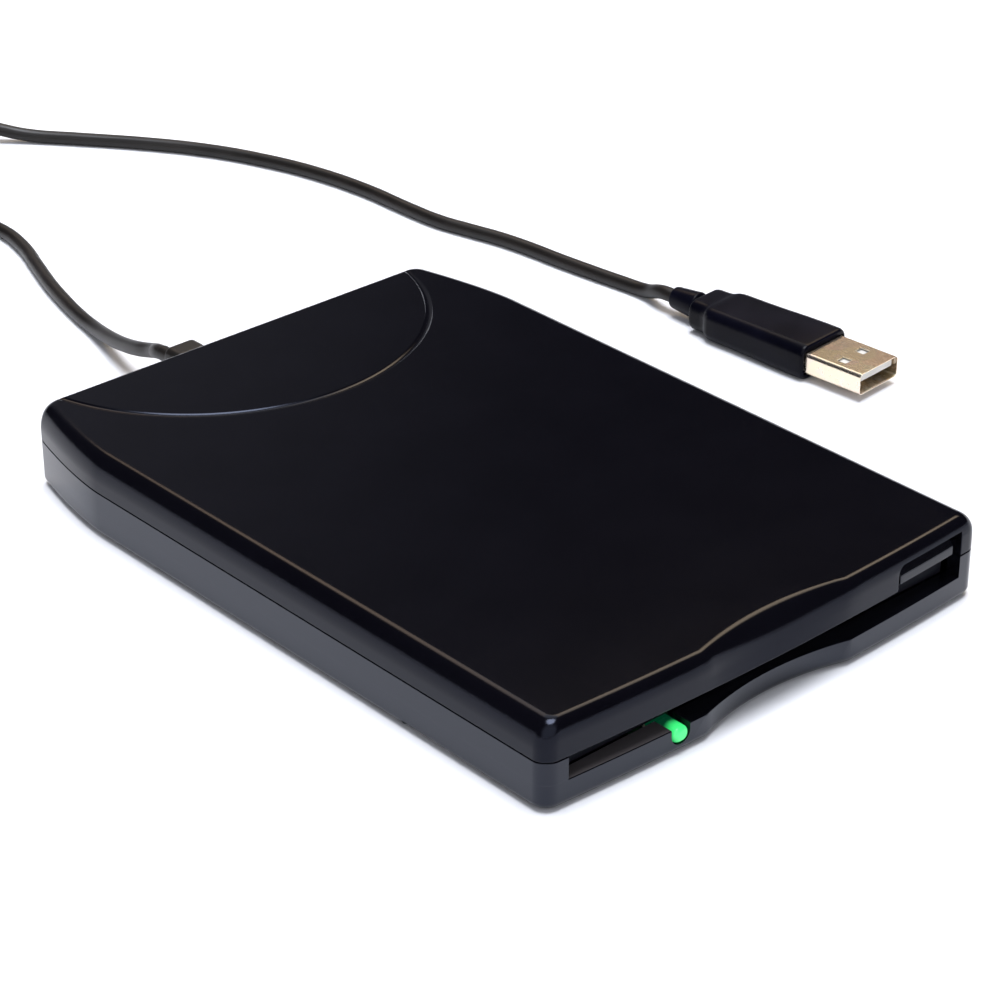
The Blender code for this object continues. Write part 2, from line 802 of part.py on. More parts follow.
def make_bottom_case():
    wall_top = split_level - split_gap
    radii = (bottom_edge, bottom_edge, bottom_edge)
    levels = []
    for i in range(corner_steps + 1):
        drop = math.cos(i / corner_steps * math.pi / 2)
        levels.append(case_bottom + bottom_edge * (1.0 - drop))
    levels += [slot_bottom, wall_top]
    rings = []
    for level in levels:
        share = max(0.0, (slot_bottom - level) / (slot_bottom - case_bottom))
        depth = scoop_top_depth + share * (scoop_low_depth - scoop_top_depth)
        rings.append(shell_ring(level, case_bottom, radii, depth))
    case = loft("bottom_case", rings)
    join(case, joint_cutter("tongue", 0.0, wall_top - tongue_height, wall_top + tongue_height))
    cut(
        case,
        cavity_cutter(floor_top, case_top),
        block(
            "slot",
            (-slot_half, slot_half),
            (front_face - overrun, cavity_front + overrun),
            (slot_bottom, case_top),
        ),
        relief_notch(),
        lamp_notch(),
        edge_relief_cutter(),
    )
    for place in case_screw_places():
        join(case, upright("post", place, post_radius, floor_top - fit_gap, wall_top))
    for place in mechanism_screw_places():
        join(case, upright("boss", place, screw_boss_radius, floor_top - fit_gap, floor_top + screw_boss_height))
    for side in (-1, 1):
        place = (side * board_post_place, usb_board_middle)
        shoulder = usb_board_bottom - fit_gap
        pin_top = usb_board_bottom + usb_board_thickness + fit_gap
        steps = [
            (board_post_radius, floor_top - fit_gap),
            (board_post_radius, shoulder),
            (board_pin_radius, shoulder),
            (board_pin_radius, pin_top),
        ]
        join(case, stacked("board_post", place, steps, 16))
    for place in case_screw_places():
        cut(
            case,
            upright("recess", place, screw_head_radius + fit_gap, case_bottom - overrun, case_screw_seat),
            upright("screw_hole", place, screw_radius + fit_gap, case_bottom, wall_top + overrun),
        )
    for place in mechanism_screw_places():
        cut(
            case,
            upright("recess", place, screw_head_radius + fit_gap, case_bottom - overrun, mechanism_screw_seat),
            upright("screw_hole", place, screw_radius + fit_gap, case_bottom, plate_bottom),
        )
    for place in foot_places():
        cut(case, upright("foot_recess", place, foot_radius + fit_gap, case_bottom - overrun, foot_seat, 32))
    return finish(case, black_plastic)


def stacked(name, centre, steps, sides=24):
    """A solid of rounds one upon another, each step a (radius, level) pair."""
    return loft(name, [[(x, y, z) for x, y in circle(radius, sides, centre)] for radius, z in steps])


def lamp_outline(room, top):
    radius = lamp_width / 2 + room
    centre = (lamp_place, slot_bottom - lamp_sill_gap - lamp_height + lamp_width / 2)
    outline = [(lamp_place + radius, top), (lamp_place - radius, top)]
    for i in range(9):
        angle = math.pi * (1.0 + i / 8)
        outline.append((centre[0] + radius * math.cos(angle), centre[1] + radius * math.sin(angle)))
    return outline


def lamp_notch():
    outline = lamp_outline(fit_gap, slot_bottom + overrun)
    return front_prism("lamp_notch", outline, front_face - overrun, cavity_front + overrun)


def edge_relief_cutter():
    front = front_face + edge_relief_from_front
    return block(
        "edge_relief",
        (-case_half - overrun, -case_half + edge_relief_depth),
        (front, front + edge_relief_length),
        (case_bottom - overrun, case_bottom + edge_relief_height),
    )


def make_lamp_lens():
    top = slot_bottom - lamp_sill_gap
    front = front_face + bow(lamp_place) - lamp_stand_out
    lens = front_prism("lamp_lens", lamp_outline(0.0, top), front, cavity_front)
    low = top - lamp_height
    rear = front_face + bow(lamp_place) + lamp_pipe_length
    half = lamp_width / 2
    pipe = block(
        "pipe",
        (lamp_place - half, lamp_place + half),
        (cavity_front - overrun, rear),
        (low + half / 2, low + lamp_pipe_height),
    )
    join(lens, pipe)
    return finish(lens, green_lens)


def make_feet():
    names = ("foot_front_left", "foot_rear_left", "foot_front_right", "foot_rear_right")
    for name, place in zip(names, foot_places()):
        top = foot_seat - fit_gap
        steps = [(foot_radius - foot_edge, 0.0), (foot_radius, foot_edge), (foot_radius, top)]
        finish(stacked(name, place, steps, 32), rubber)


def make_screw(name, place, seat, head_height, length):
    """A screw put in from below, its head under the seat and its shank up through it."""
    top = seat - fit_gap
    low = top - head_height
    steps = [
        (screw_head_radius, low),
        (screw_head_radius, top),
        (screw_radius, top),
        (screw_radius, top + length),
    ]
    screw = stacked(name, place, steps, 20)
    for across, along in ((cross_length, cross_width), (cross_width, cross_length)):
        arm = block(
            "cross",
            (place[0] - across / 2, place[0] + across / 2),
            (place[1] - along / 2, place[1] + along / 2),
            (low - overrun, low + cross_depth),
        )
        cut(screw, arm)
    return finish(screw, steel)


def make_screws():
    names = ("case_screw_left", "case_screw_right")
    for name, place in zip(names, case_screw_places()):
        make_screw(name, place, case_screw_seat, case_screw_head_height, case_screw_length)
    names = (
        "chassis_screw_front_left",
        "chassis_screw_rear_left",
        "chassis_screw_front_right",
        "chassis_screw_rear_right",
    )
    length = plate_top + fit_gap - mechanism_screw_seat
    for name, place in zip(names, mechanism_screw_places()):
        make_screw(name, place, mechanism_screw_seat, screw_head_height, length)


# Eject button, slider and dust door


def make_eject_button():
    low = split_level + button_low_room
    ridge = low + button_height / 2
    top = low + button_height
    right = slot_half - button_right_room
    rings = []
    for share in (0.0, 0.25, 0.5, 0.75, 1.0):
        x = right - button_length * (1.0 - share)
        face = front_face + bow(x) + button_inset
        rings.append(
            [
                (x, face, low),
                (x, head_rear, low),
                (x, head_rear, top),
                (x, face + button_ridge, top),
                (x, face, ridge),
            ]
        )
    button = loft("eject_button", rings)
    left = right - button_length
    skirt = block(
        "skirt",
        (left + button_edge, right - button_edge),
        (head_rear - fit_gap, skirt_rear),
        (skirt_bottom, top - button_edge),
    )
    stem_low = slider_top + fit_gap
    stem = block(
        "stem",
        (slider_tab_place - stem_width / 2, slider_tab_place + stem_width / 2),
        (head_rear, clip_y + stem_thickness * 1.5),
        (stem_low, stem_low + stem_thickness),
    )
    clip = upright("clip", (slider_tab_place, clip_y), clip_pin_radius, slider_bottom, stem_low + fit_gap, 16)
    join(button, skirt, stem, clip)
    return finish(button, black_plastic)


def make_slider_plate():
    front = carrier_front + eject_travel
    rear = pin_places[-1] + slide_arm_rear + fit_gap
    plate = block("slider_plate", (-arm_outer, arm_outer), (front, rear), (slider_bottom, slider_top))
    tab_half = slider_tab_width / 2
    tab = block(
        "tab",
        (slider_tab_place - tab_half, slider_tab_place + tab_half),
        (front - slider_tab_length, front + slider_sheet),
        (slider_bottom, slider_top),
    )
    join(plate, tab)
    inner = arm_outer - slider_rail_width
    high = (slider_bottom - overrun, slider_top + overrun)
    cut(
        plate,
        block("middle", (-inner, inner), (slider_middle_rear, rear + overrun), high),
        block("notch", (-slider_notch_half, slider_notch_half), (slider_notch_front, rear + overrun), high),
        upright("clip_hole", (slider_tab_place, clip_y), clip_pin_radius + fit_gap, *high, 16),
    )
    half = slider_window_width / 2
    for side in (-1, 1):
        centre = side * slider_window_place
        window = block(
            "window",
            (centre - half, centre + half),
            (slider_window_front, slider_window_front + slider_window_length),
            high,
        )
        cut(plate, window)
    low = pin_level - carrier_drop - pin_radius - fit_gap - pin_slot_wall
    for y in pin_places:
        for side in (-1, 1):
            arm = block(
                "arm",
                sorted((side * arm_inner, side * arm_outer)),
                (y - slide_arm_front, y + slide_arm_rear),
                (low, slider_top),
            )
            join(plate, arm)
    for y in pin_places:
        slot = capsule((y, pin_level), (y + eject_travel, pin_level - carrier_drop), pin_radius + fit_gap)
        cut(plate, side_prism("pin_slot", slot, -arm_outer - overrun, arm_outer + overrun))
    hook_y = slider_window_front + slider_window_length
    hook = block(
        "spring_hook",
        (spring_place - hook_width / 2, spring_place + hook_width / 2),
        (hook_y, hook_y + slider_sheet),
        (slider_bottom, slider_top + hook_height),
    )
    join(plate, hook)
    return finish(plate, steel)


def capsule(start, end, radius, steps=8):
    """Outline of a slot with round ends."""
    heading = math.atan2(end[1] - start[1], end[0] - start[0])
    outline = []
    for centre, first in ((end, heading - math.pi / 2), (start, heading + math.pi / 2)):
        for i in range(steps + 1):
            angle = first + i * math.pi / steps
            outline.append((centre[0] + radius * math.cos(angle), centre[1] + radius * math.sin(angle)))
    return outline


def make_dust_door():
    half = slot_half - door_side_room
    low = slot_bottom - door_overlap
    front = door_y - door_barrel_radius
    door = block("dust_door", (-half, half), (front, front + door_thickness), (low, door_level))
    notch_low = door_level - door_spring_radius - door_spring_wire - fit_gap
    spring_left = -half + door_spring_inset
    spring_right = spring_left + door_spring_turns * door_spring_pitch + door_spring_room
    cut(
        door,
        block(
            "spring_notch",
            (spring_left, spring_right),
            (front - overrun, front + door_thickness + overrun),
            (notch_low, door_level + overrun),
        ),
    )
    join(door, crosswise("barrel", (door_y, door_level), door_barrel_radius, -half, half))
    reach = slot_half - fit_gap + door_pin_length
    join(door, crosswise("pins", (door_y, door_level), door_pin_radius, -reach, reach))
    return finish(about(door, (0.0, door_y, door_level)), black_plastic)


def make_tube(name, points, radius, look, resolution=2):
    """A round tube along points, its ends capped."""
    curve = bpy.data.curves.new(name, "CURVE")
    curve.dimensions = "3D"
    curve.bevel_depth = radius
    curve.bevel_resolution = resolution
    curve.use_fill_caps = True
    spline = curve.splines.new("POLY")
    spline.points.add(len(points) - 1)
    for slot, (x, y, z) in zip(spline.points, points):
        slot.co = (x, y, z, 1.0)
    made = bpy.data.objects.new(name, curve)
    bpy.context.collection.objects.link(made)
    return finish(made, look)


def make_door_spring():
    half = slot_half - door_side_room
    left = -half + door_spring_inset + door_spring_room / 2
    count = spring_turn_steps * door_spring_turns
    points = []
    for i in range(count + 1):
        angle = math.tau * i / spring_turn_steps
        x = left + door_spring_pitch * i / spring_turn_steps
        y = door_y + door_spring_radius * math.cos(angle)
        points.append((x, y, door_level + door_spring_radius * math.sin(angle)))
    x, y, z = points[-1]
    points.append((x, y, z + door_spring_leg))
    x, y, z = points[0]
    points.insert(0, (x, y, z - door_spring_leg))
    return make_tube("door_spring", points, door_spring_wire, steel, 1)


def make_slider_spring():
    rear = slider_window_front + slider_window_length - fit_gap - spring_wire
    level = slider_top + spring_wire + fit_gap
    count = spring_turn_steps * spring_turns
    points = []
    for i in range(count + 1):
        angle = math.tau * i / spring_turn_steps
        y = rear - spring_pitch * i / spring_turn_steps
        x = spring_place + spring_radius * math.sin(angle)
        points.append((x, y, level + spring_radius * math.cos(angle)))
    front = points[-1][1]
    points.append((spring_place, front - spring_pitch, level))
    points.append((spring_place, front - spring_leg, level))
    return make_tube("slider_spring", points, spring_wire, steel, 1)


# Chassis, its lid and the disk carrier


def clipped_outline(half, front, rear):
    """A plate's outline, its rear corners cut off where the case tapers."""
    clip_start = rear - chassis_clip_length
    narrow = half - chassis_clip
    return [
        (-half, front),
        (half, front),
        (half, clip_start),
        (narrow, rear),
        (-narrow, rear),
        (-half, clip_start),
    ]


def make_chassis():
    chassis = prism("chassis", clipped_outline(chassis_half, chassis_front, chassis_rear), plate_bottom, plate_top)
    for side in (-1, 1):
        wall = block(
            "wall",
            sorted((side * chassis_inner, side * chassis_half)),
            (chassis_front, chassis_rear - chassis_clip_length),
            (plate_bottom, chassis_wall_top),
        )
        join(chassis, wall)
    rear_half = chassis_half - chassis_clip
    rear = block(
        "rear",
        (-rear_half, rear_half),
        (chassis_rear - sheet, chassis_rear),
        (plate_bottom, chassis_wall_top),
    )
    rod_half = rod_tab_width / 2
    rod_tab = block(
        "rod_tab",
        (rod_place - rod_half, rod_place + rod_half),
        (tab_front, tab_front + sheet),
        (plate_bottom, rod_level + rod_tab_rise),
    )
    screw_tab = block(
        "screw_tab",
        (screw_place - screw_tab_half_width, screw_place + screw_tab_half_width),
        (tab_front, tab_front + sheet),
        (plate_bottom, screw_level + rod_tab_rise),
    )
    join(chassis, rear, rod_tab, screw_tab)
    through = (plate_bottom - overrun, plate_top + overrun)
    slot_half_width = lower_arm_half_width + lower_arm_room
    cut(
        chassis,
        upright("rotor_hole", (0.0, spindle_y), rotor_radius + rotor_room, *through, 48),
        block(
            "arm_slot",
            (-slot_half_width, slot_half_width),
            (head_y - track_travel - head_length, carriage_rear + fit_gap),
            through,
        ),
        lengthwise(
            "rod_hole",
            (rod_place, rod_level),
            rod_radius + fit_gap,
            tab_front - overrun,
            chassis_rear + overrun,
            20,
        ),
        lengthwise(
            "screw_hole",
            (screw_place, screw_level),
            journal_radius + fit_gap,
            tab_front - overrun,
            tab_front + sheet + overrun,
            16,
        ),
        block(
            "window",
            (rear_wall_window_place, rear_wall_window_place + rear_wall_window_length),
            (chassis_rear - sheet - overrun, chassis_rear + overrun),
            (rod_level - fit_gap, rod_level - fit_gap + rear_wall_window_height),
        ),
    )
    for place in mechanism_screw_places():
        cut(chassis, upright("screw_hole", place, screw_radius + fit_gap, *through, 16))
    room = pin_radius + fit_gap
    for y in pin_places:
        slot = capsule((y, pin_level), (y, pin_level - carrier_drop), room)
        cut(chassis, side_prism("pin_slot", slot, -case_half, case_half))
    return finish(chassis, steel)


def make_chassis_lid():
    lid = prism("chassis_lid", clipped_outline(chassis_half, chassis_front, chassis_rear), lid_bottom, lid_top)
    through = (lid_bottom - overrun, lid_top + overrun)
    half = lid_window_width / 2
    for side, along in ((-1, -1), (-1, 1), (1, 1)):
        centre = side * lid_window_place
        y = spindle_y + along * lid_window_length
        window = block(
            "window",
            (centre - half, centre + half),
            (y - lid_window_length / 2, y + lid_window_length / 2),
            through,
        )
        cut(lid, window)
    lug_half = hook_width / 2
    spring_level = slider_top + spring_wire + fit_gap
    lug = block(
        "lug",
        (spring_place - lug_half, spring_place + lug_half),
        (lug_place, lug_place + sheet),
        (slider_top + fit_gap - carrier_window_drop, lid_bottom + fit_gap),
    )
    join(lid, lug)
    hole = lengthwise(
        "lug_hole",
        (spring_place, spring_level),
        lug_hole_radius,
        lug_place - overrun,
        lug_place + sheet + overrun,
        12,
    )
    cut(lid, hole)
    return finish(lid, steel)


def make_disk_carrier():
    outline = [
        (-carrier_half, flange_bottom),
        (flange_width - bay_half, flange_bottom),
        (flange_width - bay_half, flange_top),
        (-bay_half, flange_top),
        (-bay_half, bay_top),
        (bay_half, bay_top),
        (bay_half, flange_top),
        (bay_half - flange_width, flange_top),
        (bay_half - flange_width, flange_bottom),
        (carrier_half, flange_bottom),
        (carrier_half, carrier_top),
        (-carrier_half, carrier_top),
    ]
    carrier = front_prism("disk_carrier", outline, carrier_front, carrier_rear)
    for y in pin_places:
        for side in (-1, 1):
            reach = sorted((side * (bay_half + fit_gap), side * (chassis_half - fit_gap)))
            join(carrier, crosswise("pin", (y, pin_level), pin_radius, *reach))
    join(carrier, upright("post", (lever_x, lever_y), lever_post_radius, carrier_top - fit_gap, lever_top, 20))
    high = (bay_top - overrun, carrier_top + overrun)
    cut(
        carrier,
        block("head_cut", (-carrier_cut_half, carrier_cut_half), (carrier_cut_front, carrier_rear + overrun), high),
        prism("lever_slot", lever_slot_outline(), bay_top - overrun, carrier_top + fit_gap),
    )
    half = carrier_window_width / 2
    for side in (-1, 1):
        centre = side * slider_window_place
        window = block(
            "window",
            (centre - half, centre + half),
            (slider_window_front, slider_window_front + carrier_window_length),
            high,
        )
        cut(carrier, window)
    return finish(carrier, steel)


def lever_slot_outline():
    """The arc that the shutter lever's pin sweeps in the carrier's roof."""
    room = lever_pin_radius + lever_slot_room
    spread = math.asin(room / lever_length)
    count = 16
    outer = []
    inner = []
    for i in range(count + 1):
        angle = -lever_turn - spread + i / count * (lever_turn + 2 * spread)
        for row, radius in ((outer, lever_length + room), (inner, lever_length - room)):
            row.append((lever_x + radius * math.cos(angle), lever_y + radius * math.sin(angle)))
    return outer + inner[::-1]


def make_shutter_lever():
    pivot = (lever_x, lever_y)
    end = (
        lever_x + lever_length * math.cos(lever_turn),
        lever_y - lever_length * math.sin(lever_turn),
    )
    lever = prism("shutter_lever", capsule(pivot, end, lever_width / 2), lever_bottom, lever_top)
    join(
        lever,
        upright("hub", pivot, lever_hub_radius, lever_bottom, lever_top, 24),
        upright("pin", end, lever_pin_radius, lever_bottom - lever_pin_length, lever_top - fit_gap, 16),
    )
    room = lever_post_radius + fit_gap
    cut(lever, upright("pivot_hole", pivot, room, lever_bottom - overrun, lever_top + overrun, 20))
    return finish(about(lever, (lever_x, lever_y, lever_bottom)), steel)


# Spindle motor


def make_spindle():
    centre = (0.0, spindle_y)
    bore = shaft_radius + bearing_bore_room
    plate_low = rotor_level
    plate_high = plate_low + rotor_plate
    rim_inner = rotor_radius - rotor_rim
    base = board_top + fit_gap
    rotor = turned(
        "spindle_rotor",
        [
            (bore, plate_low),
            (rim_inner, plate_low),
            (rim_inner, base),
            (rotor_radius, base),
            (rotor_radius, plate_high),
            (bore, plate_high),
        ],
        centre,
        48,
    )
    finish(about(rotor, (0.0, spindle_y, base)), steel)
    magnet_outer = rim_inner - fit_gap
    magnet_inner = magnet_outer - magnet_thickness
    magnet = turned(
        "rotor_magnet",
        [
            (magnet_inner, base + magnet_lift),
            (magnet_outer, base + magnet_lift),
            (magnet_outer, plate_low - fit_gap),
            (magnet_inner, plate_low - fit_gap),
        ],
        centre,
        48,
    )
    finish(about(magnet, (0.0, spindle_y, base)), ferrite)
    stator_top = base + stator_thickness
    stator = turned(
        "stator",
        [
            (stator_bore_radius, base),
            (stator_core_radius, base),
            (stator_core_radius, stator_top),
            (stator_bore_radius, stator_top),
        ],
        centre,
        48,
    )
    tip_radius = magnet_inner - run_gap
    for i in range(stator_teeth):
        angle = math.tau * i / stator_teeth
        join(stator, stator_tooth(centre, angle, tip_radius, base, stator_top))
    finish(stator, ferrite)
    bearing = turned(
        "spindle_bearing",
        [
            (bore, base),
            (bearing_radius, base),
            (bearing_radius, stator_top),
            (bore, stator_top),
        ],
        centre,
        24,
    )
    finish(bearing, brass)
    chuck_low = plate_high + fit_gap
    chuck_high = chuck_low + chuck_thickness
    chuck = turned(
        "chuck_disc",
        [(bore, chuck_low), (chuck_radius, chuck_low), (chuck_radius, chuck_high), (bore, chuck_high)],
        centre,
        40,
    )
    pin_place = (chuck_slot_radius, spindle_y)
    room = drive_pin_radius + fit_gap
    cut(chuck, upright("pin_hole", pin_place, room, chuck_low - overrun, chuck_high + overrun, 16))
    finish(about(chuck, (0.0, spindle_y, base)), steel)
    pin = upright("drive_pin", pin_place, drive_pin_radius, chuck_low, chuck_low + drive_pin_height, 16)
    finish(about(pin, (0.0, spindle_y, base)), brass)
    shaft = stacked(
        "spindle_shaft",
        centre,
        [
            (shaft_radius, base),
            (shaft_radius, chuck_high + fit_gap),
            (shaft_radius - fit_gap, chuck_low + drive_pin_height),
        ],
        24,
    )
    finish(about(shaft, (0.0, spindle_y, base)), steel)


def stator_tooth(centre, angle, tip_radius, low, high):
    """One tooth of the stator, a T with its foot in the core."""
    half = tooth_width / 2
    tip_half = tooth_tip_width / 2
    neck = tip_radius - tooth_tip_depth
    root = stator_core_radius - fit_gap
    end = math.sqrt(tip_radius**2 - tip_half**2)
    flat = [
        (root, -half),
        (neck, -half),
        (neck, -tip_half),
        (end, -tip_half),
        (tip_radius, 0.0),
        (end, tip_half),
        (neck, tip_half),
        (neck, half),
        (root, half),
    ]
    turn = Matrix.Rotation(angle, 3, "Z")
    outline = []
    for x, y in flat:
        point = turn @ Vector((x, y, 0.0))
        outline.append((centre[0] + point.x, centre[1] + point.y))
    return prism("tooth", outline, low, high)


# Head carriage, guide rod, lead screw and stepper motor


def make_guides():
    rod = lengthwise("guide_rod", (rod_place, rod_level), rod_radius, disk_end + bay_room, chassis_rear - sheet / 2)
    finish(rod, steel)
    thread_front = tab_front + sheet + fit_gap
    thread_rear = thread_front + screw_thread_length
    rings = []
    for radius, y in (
        (journal_radius, disk_end + bay_room),
        (journal_radius, thread_front),
        (lead_screw_radius, thread_front),
        (lead_screw_radius, thread_rear),
        (journal_radius, thread_rear),
        (journal_radius, thread_rear + screw_journal_depth),
    ):
        ring = circle(radius, 20, (screw_place, screw_level))
        rings.append([(x, y, z) for x, z in ring])
    screw = loft("lead_screw", rings)
    finish(about(screw, (screw_place, thread_front, screw_level)), steel)
    front = thread_rear + fit_gap
    rear = front + stepper_length
    motor = lengthwise("stepper_motor", (screw_place, screw_level), stepper_radius, front, rear, 32)
    half = stepper_flange_half_width
    flange = block(
        "flange",
        (screw_place - half, screw_place + half),
        (front, front + stepper_flange),
        (screw_level - stepper_radius / 2, screw_level + stepper_radius / 2),
    )
    join(motor, flange)
    bore = lengthwise(
        "bore",
        (screw_place, screw_level),
        journal_radius + fit_gap,
        front - overrun,
        front + screw_journal_depth + fit_gap,
        16,
    )
    cut(motor, bore)
    finish(motor, steel)


def make_head_carriage():
    body_low = plate_top + carriage_lift
    body_high = body_low + carriage_height
    carriage = block(
        "head_carriage",
        (-carriage_left, carriage_right),
        (carriage_front, carriage_rear),
        (body_low, body_high),
    )
    arm_low = board_top + fit_gap
    arm_high = arm_low + lower_arm_thickness
    half = lower_arm_half_width
    tip = head_y - head_length / 2
    link = carriage_front + lower_arm_link
    arm = block("lower_arm", (-half, half), (tip, link), (arm_low, arm_high))
    post = block("link", (-half, half), (carriage_front - run_gap, link), (arm_low, body_low + fit_gap))
    nut_half = nut_half_height
    nut = block(
        "nut",
        (carriage_right - fit_gap, screw_place + nut_half),
        (carriage_front, carriage_front + nut_length),
        (screw_level - nut_half, screw_level + nut_half),
    )
    join(carriage, arm, post, nut)
    for side in (-1, 1):
        ear = capsule((arm_y, body_high - ear_radius), (arm_y, arm_level), ear_radius)
        across = sorted((side * ear_inner, side * (ear_inner + ear_thickness)))
        join(carriage, side_prism("ear", ear, *across))
    reach = ear_inner + ear_thickness + overrun
    cut(
        carriage,
        lengthwise(
            "rod_hole",
            (rod_place, rod_level),
            rod_radius + fit_gap,
            carriage_front - overrun,
            carriage_rear + overrun,
            20,
        ),
        lengthwise(
            "screw_hole",
            (screw_place, screw_level),
            lead_screw_radius + fit_gap,
            carriage_front - overrun,
            carriage_rear + overrun,
            20,
        ),
        crosswise("pivot_hole", (arm_y, arm_level), arm_pin_radius + fit_gap, -reach, reach),
    )
    finish(carriage, dull_plastic)
    head_half = head_size / 2
    head = block(
        "lower_head",
        (-head_half, head_half),
        (head_y - head_length / 2, head_y + head_length / 2),
        (arm_high + fit_gap, flange_top),
    )
    finish(head, ferrite)


def make_upper_arm():
    low = arm_level - arm_thickness / 2
    high = arm_level + arm_thickness / 2
    front = head_y - head_length / 2
    outline = [
        (-arm_front_half_width, front),
        (arm_front_half_width, front),
        (arm_rear_half_width, arm_y),
        (-arm_rear_half_width, arm_y),
    ]
    arm = prism("upper_arm", outline, low, high)
    for side in (-1, 1):
        near = side * arm_front_half_width
        far = side * arm_rear_half_width
        rib = [
            (near, front),
            (near - side * upper_arm_rib, front),
            (far - side * upper_arm_rib, arm_y),
            (far, arm_y),
        ]
        join(arm, prism("rib", rib, low + arm_thickness / 2, low + upper_arm_rib_height))
    centre = (arm_y, arm_level)
    join(arm, crosswise("barrel", centre, arm_pivot_radius, -barrel_half_width, barrel_half_width, 20))
    room = arm_pin_radius + fit_gap
    reach = barrel_half_width + overrun
    cut(arm, crosswise("pivot_hole", centre, room, -reach, reach))
    finish(about(arm, (0.0, arm_y, arm_level)), dull_plastic)
    head_half = head_size / 2
    head = block(
        "upper_head",
        (-head_half, head_half),
        (front, front + head_length),
        (low - fit_gap - upper_head_height, low - fit_gap),
    )
    finish(about(head, (0.0, arm_y, arm_level)), ferrite)
    reach = ear_inner + ear_thickness + fit_gap
    pin = crosswise("arm_pin", centre, arm_pin_radius, -reach, reach)
    finish(about(pin, (0.0, arm_y, arm_level)), steel)


# Boards, lamp, ribbon and socket


def make_boards():
    low, high = board_bottom, board_top
    half = drive_board_half
    board = block(
        "drive_board",
        (-half, half),
        (chassis_front + drive_board_front_inset, chassis_rear - drive_board_rear_inset),
        (low, high),
    )
    lamp_half = lamp_tongue_half_width
    tongue = block(
        "tongue",
        (lamp_place - lamp_half, lamp_place + lamp_half),
        (lamp_board_front, chassis_front + drive_board_front_inset + fit_gap),
        (low, high),
    )
    join(board, tongue)
    finish(board, board_green)
    led_front = front_face + bow(lamp_place) + lamp_pipe_length + fit_gap
    led_half = lamp_width / 2
    led = block(
        "led",
        (lamp_place - led_half, lamp_place + led_half),
        (led_front, led_front + led_length),
        (high + fit_gap, high + fit_gap + led_height),
    )
    finish(led, white_plastic)
    front = usb_board_middle - usb_board_depth / 2
    rear = usb_board_middle + usb_board_depth / 2
    usb_half = usb_board_half_width
    top = usb_board_bottom + usb_board_thickness
    usb_board = block("usb_board", (-usb_half, usb_half), (front, rear), (usb_board_bottom, top))
    for side in (-1, 1):
        place = (side * board_post_place, usb_board_middle)
        room = board_pin_radius + fit_gap
        cut(usb_board, upright("pin_hole", place, room, usb_board_bottom - overrun, top + overrun, 16))
    finish(usb_board, board_green)
    rest = top + fit_gap
    chip_half = chip_size / 2
    chip = block(
        "usb_controller",
        (chip_place - chip_half, chip_place + chip_half),
        (usb_board_middle - chip_half, usb_board_middle + chip_half),
        (rest, rest + chip_height),
    )
    finish(chip, dull_plastic)
    ribbon_half = ribbon_width / 2
    connector_half = ribbon_half + run_gap
    connector = block(
        "ffc_connector",
        (ribbon_place - connector_half, ribbon_place + connector_half),
        (front + ribbon_socket_inset, front + ribbon_socket_inset + ribbon_socket_depth),
        (rest, rest + ribbon_socket_height),
    )
    finish(connector, white_plastic)
    socket_half = cord_socket_width / 2
    socket_front = front + cord_socket_front
    socket = block(
        "cord_socket",
        (relief_place - socket_half, relief_place + socket_half),
        (socket_front, socket_front + cord_socket_depth),
        (rest, rest + cord_socket_height),
    )
    finish(socket, white_plastic)
    start = (chassis_rear - drive_board_rear_inset + fit_gap, (low + high) / 2)
    end = (front + ribbon_socket_inset - fit_gap, rest + ribbon_socket_height / 2)
    line = []
    for along, up in ribbon_loop_shares:
        line.append((start[0] + along * (end[0] - start[0]), start[1] + up * (end[1] - start[1])))
    outline = strip_outline(line, ribbon_thickness)
    ribbon = side_prism("ribbon_cable", outline, ribbon_place - ribbon_half, ribbon_place + ribbon_half)
    finish(ribbon, ribbon_tan)
    lead_top = rest + cord_socket_height + fit_gap
    lead_y = socket_front + cord_socket_depth / 2
    lead_rear = cavity_rear - fit_gap - relief_flange_depth - fit_gap
    points = rounded_corner((lead_rear, relief_level), (lead_y, relief_level), (lead_y, lead_top))
    points = [(relief_place, y, z) for y, z in points]
    make_tube("inner_lead", points, inner_lead_radius, dull_plastic)


def rounded_corner(start, corner, end):
    """Points from start to end, round the corner between them."""
    points = []
    count = 8
    for i in range(count + 1):
        share = i / count
        near = (1.0 - share) ** 2
        middle = 2 * share * (1.0 - share)
        far = share**2
        points.append(tuple(near * a + middle * b + far * c for a, b, c in zip(start, corner, end)))
    return points


def strip_outline(line, thickness):
    """Outline of a strip of even thickness along a line."""
    upper = []
    lower = []
    for i, point in enumerate(line):
        before = Vector(line[max(0, i - 1)])
        after = Vector(line[min(len(line) - 1, i + 1)])
        along = (after - before).normalized()
        across = Vector((-along.y, along.x)) * thickness / 2
        upper.append(tuple(Vector(point) + across))
        lower.append(tuple(Vector(point) - across))
    return upper + lower[::-1]


# Strain relief, cord and plug


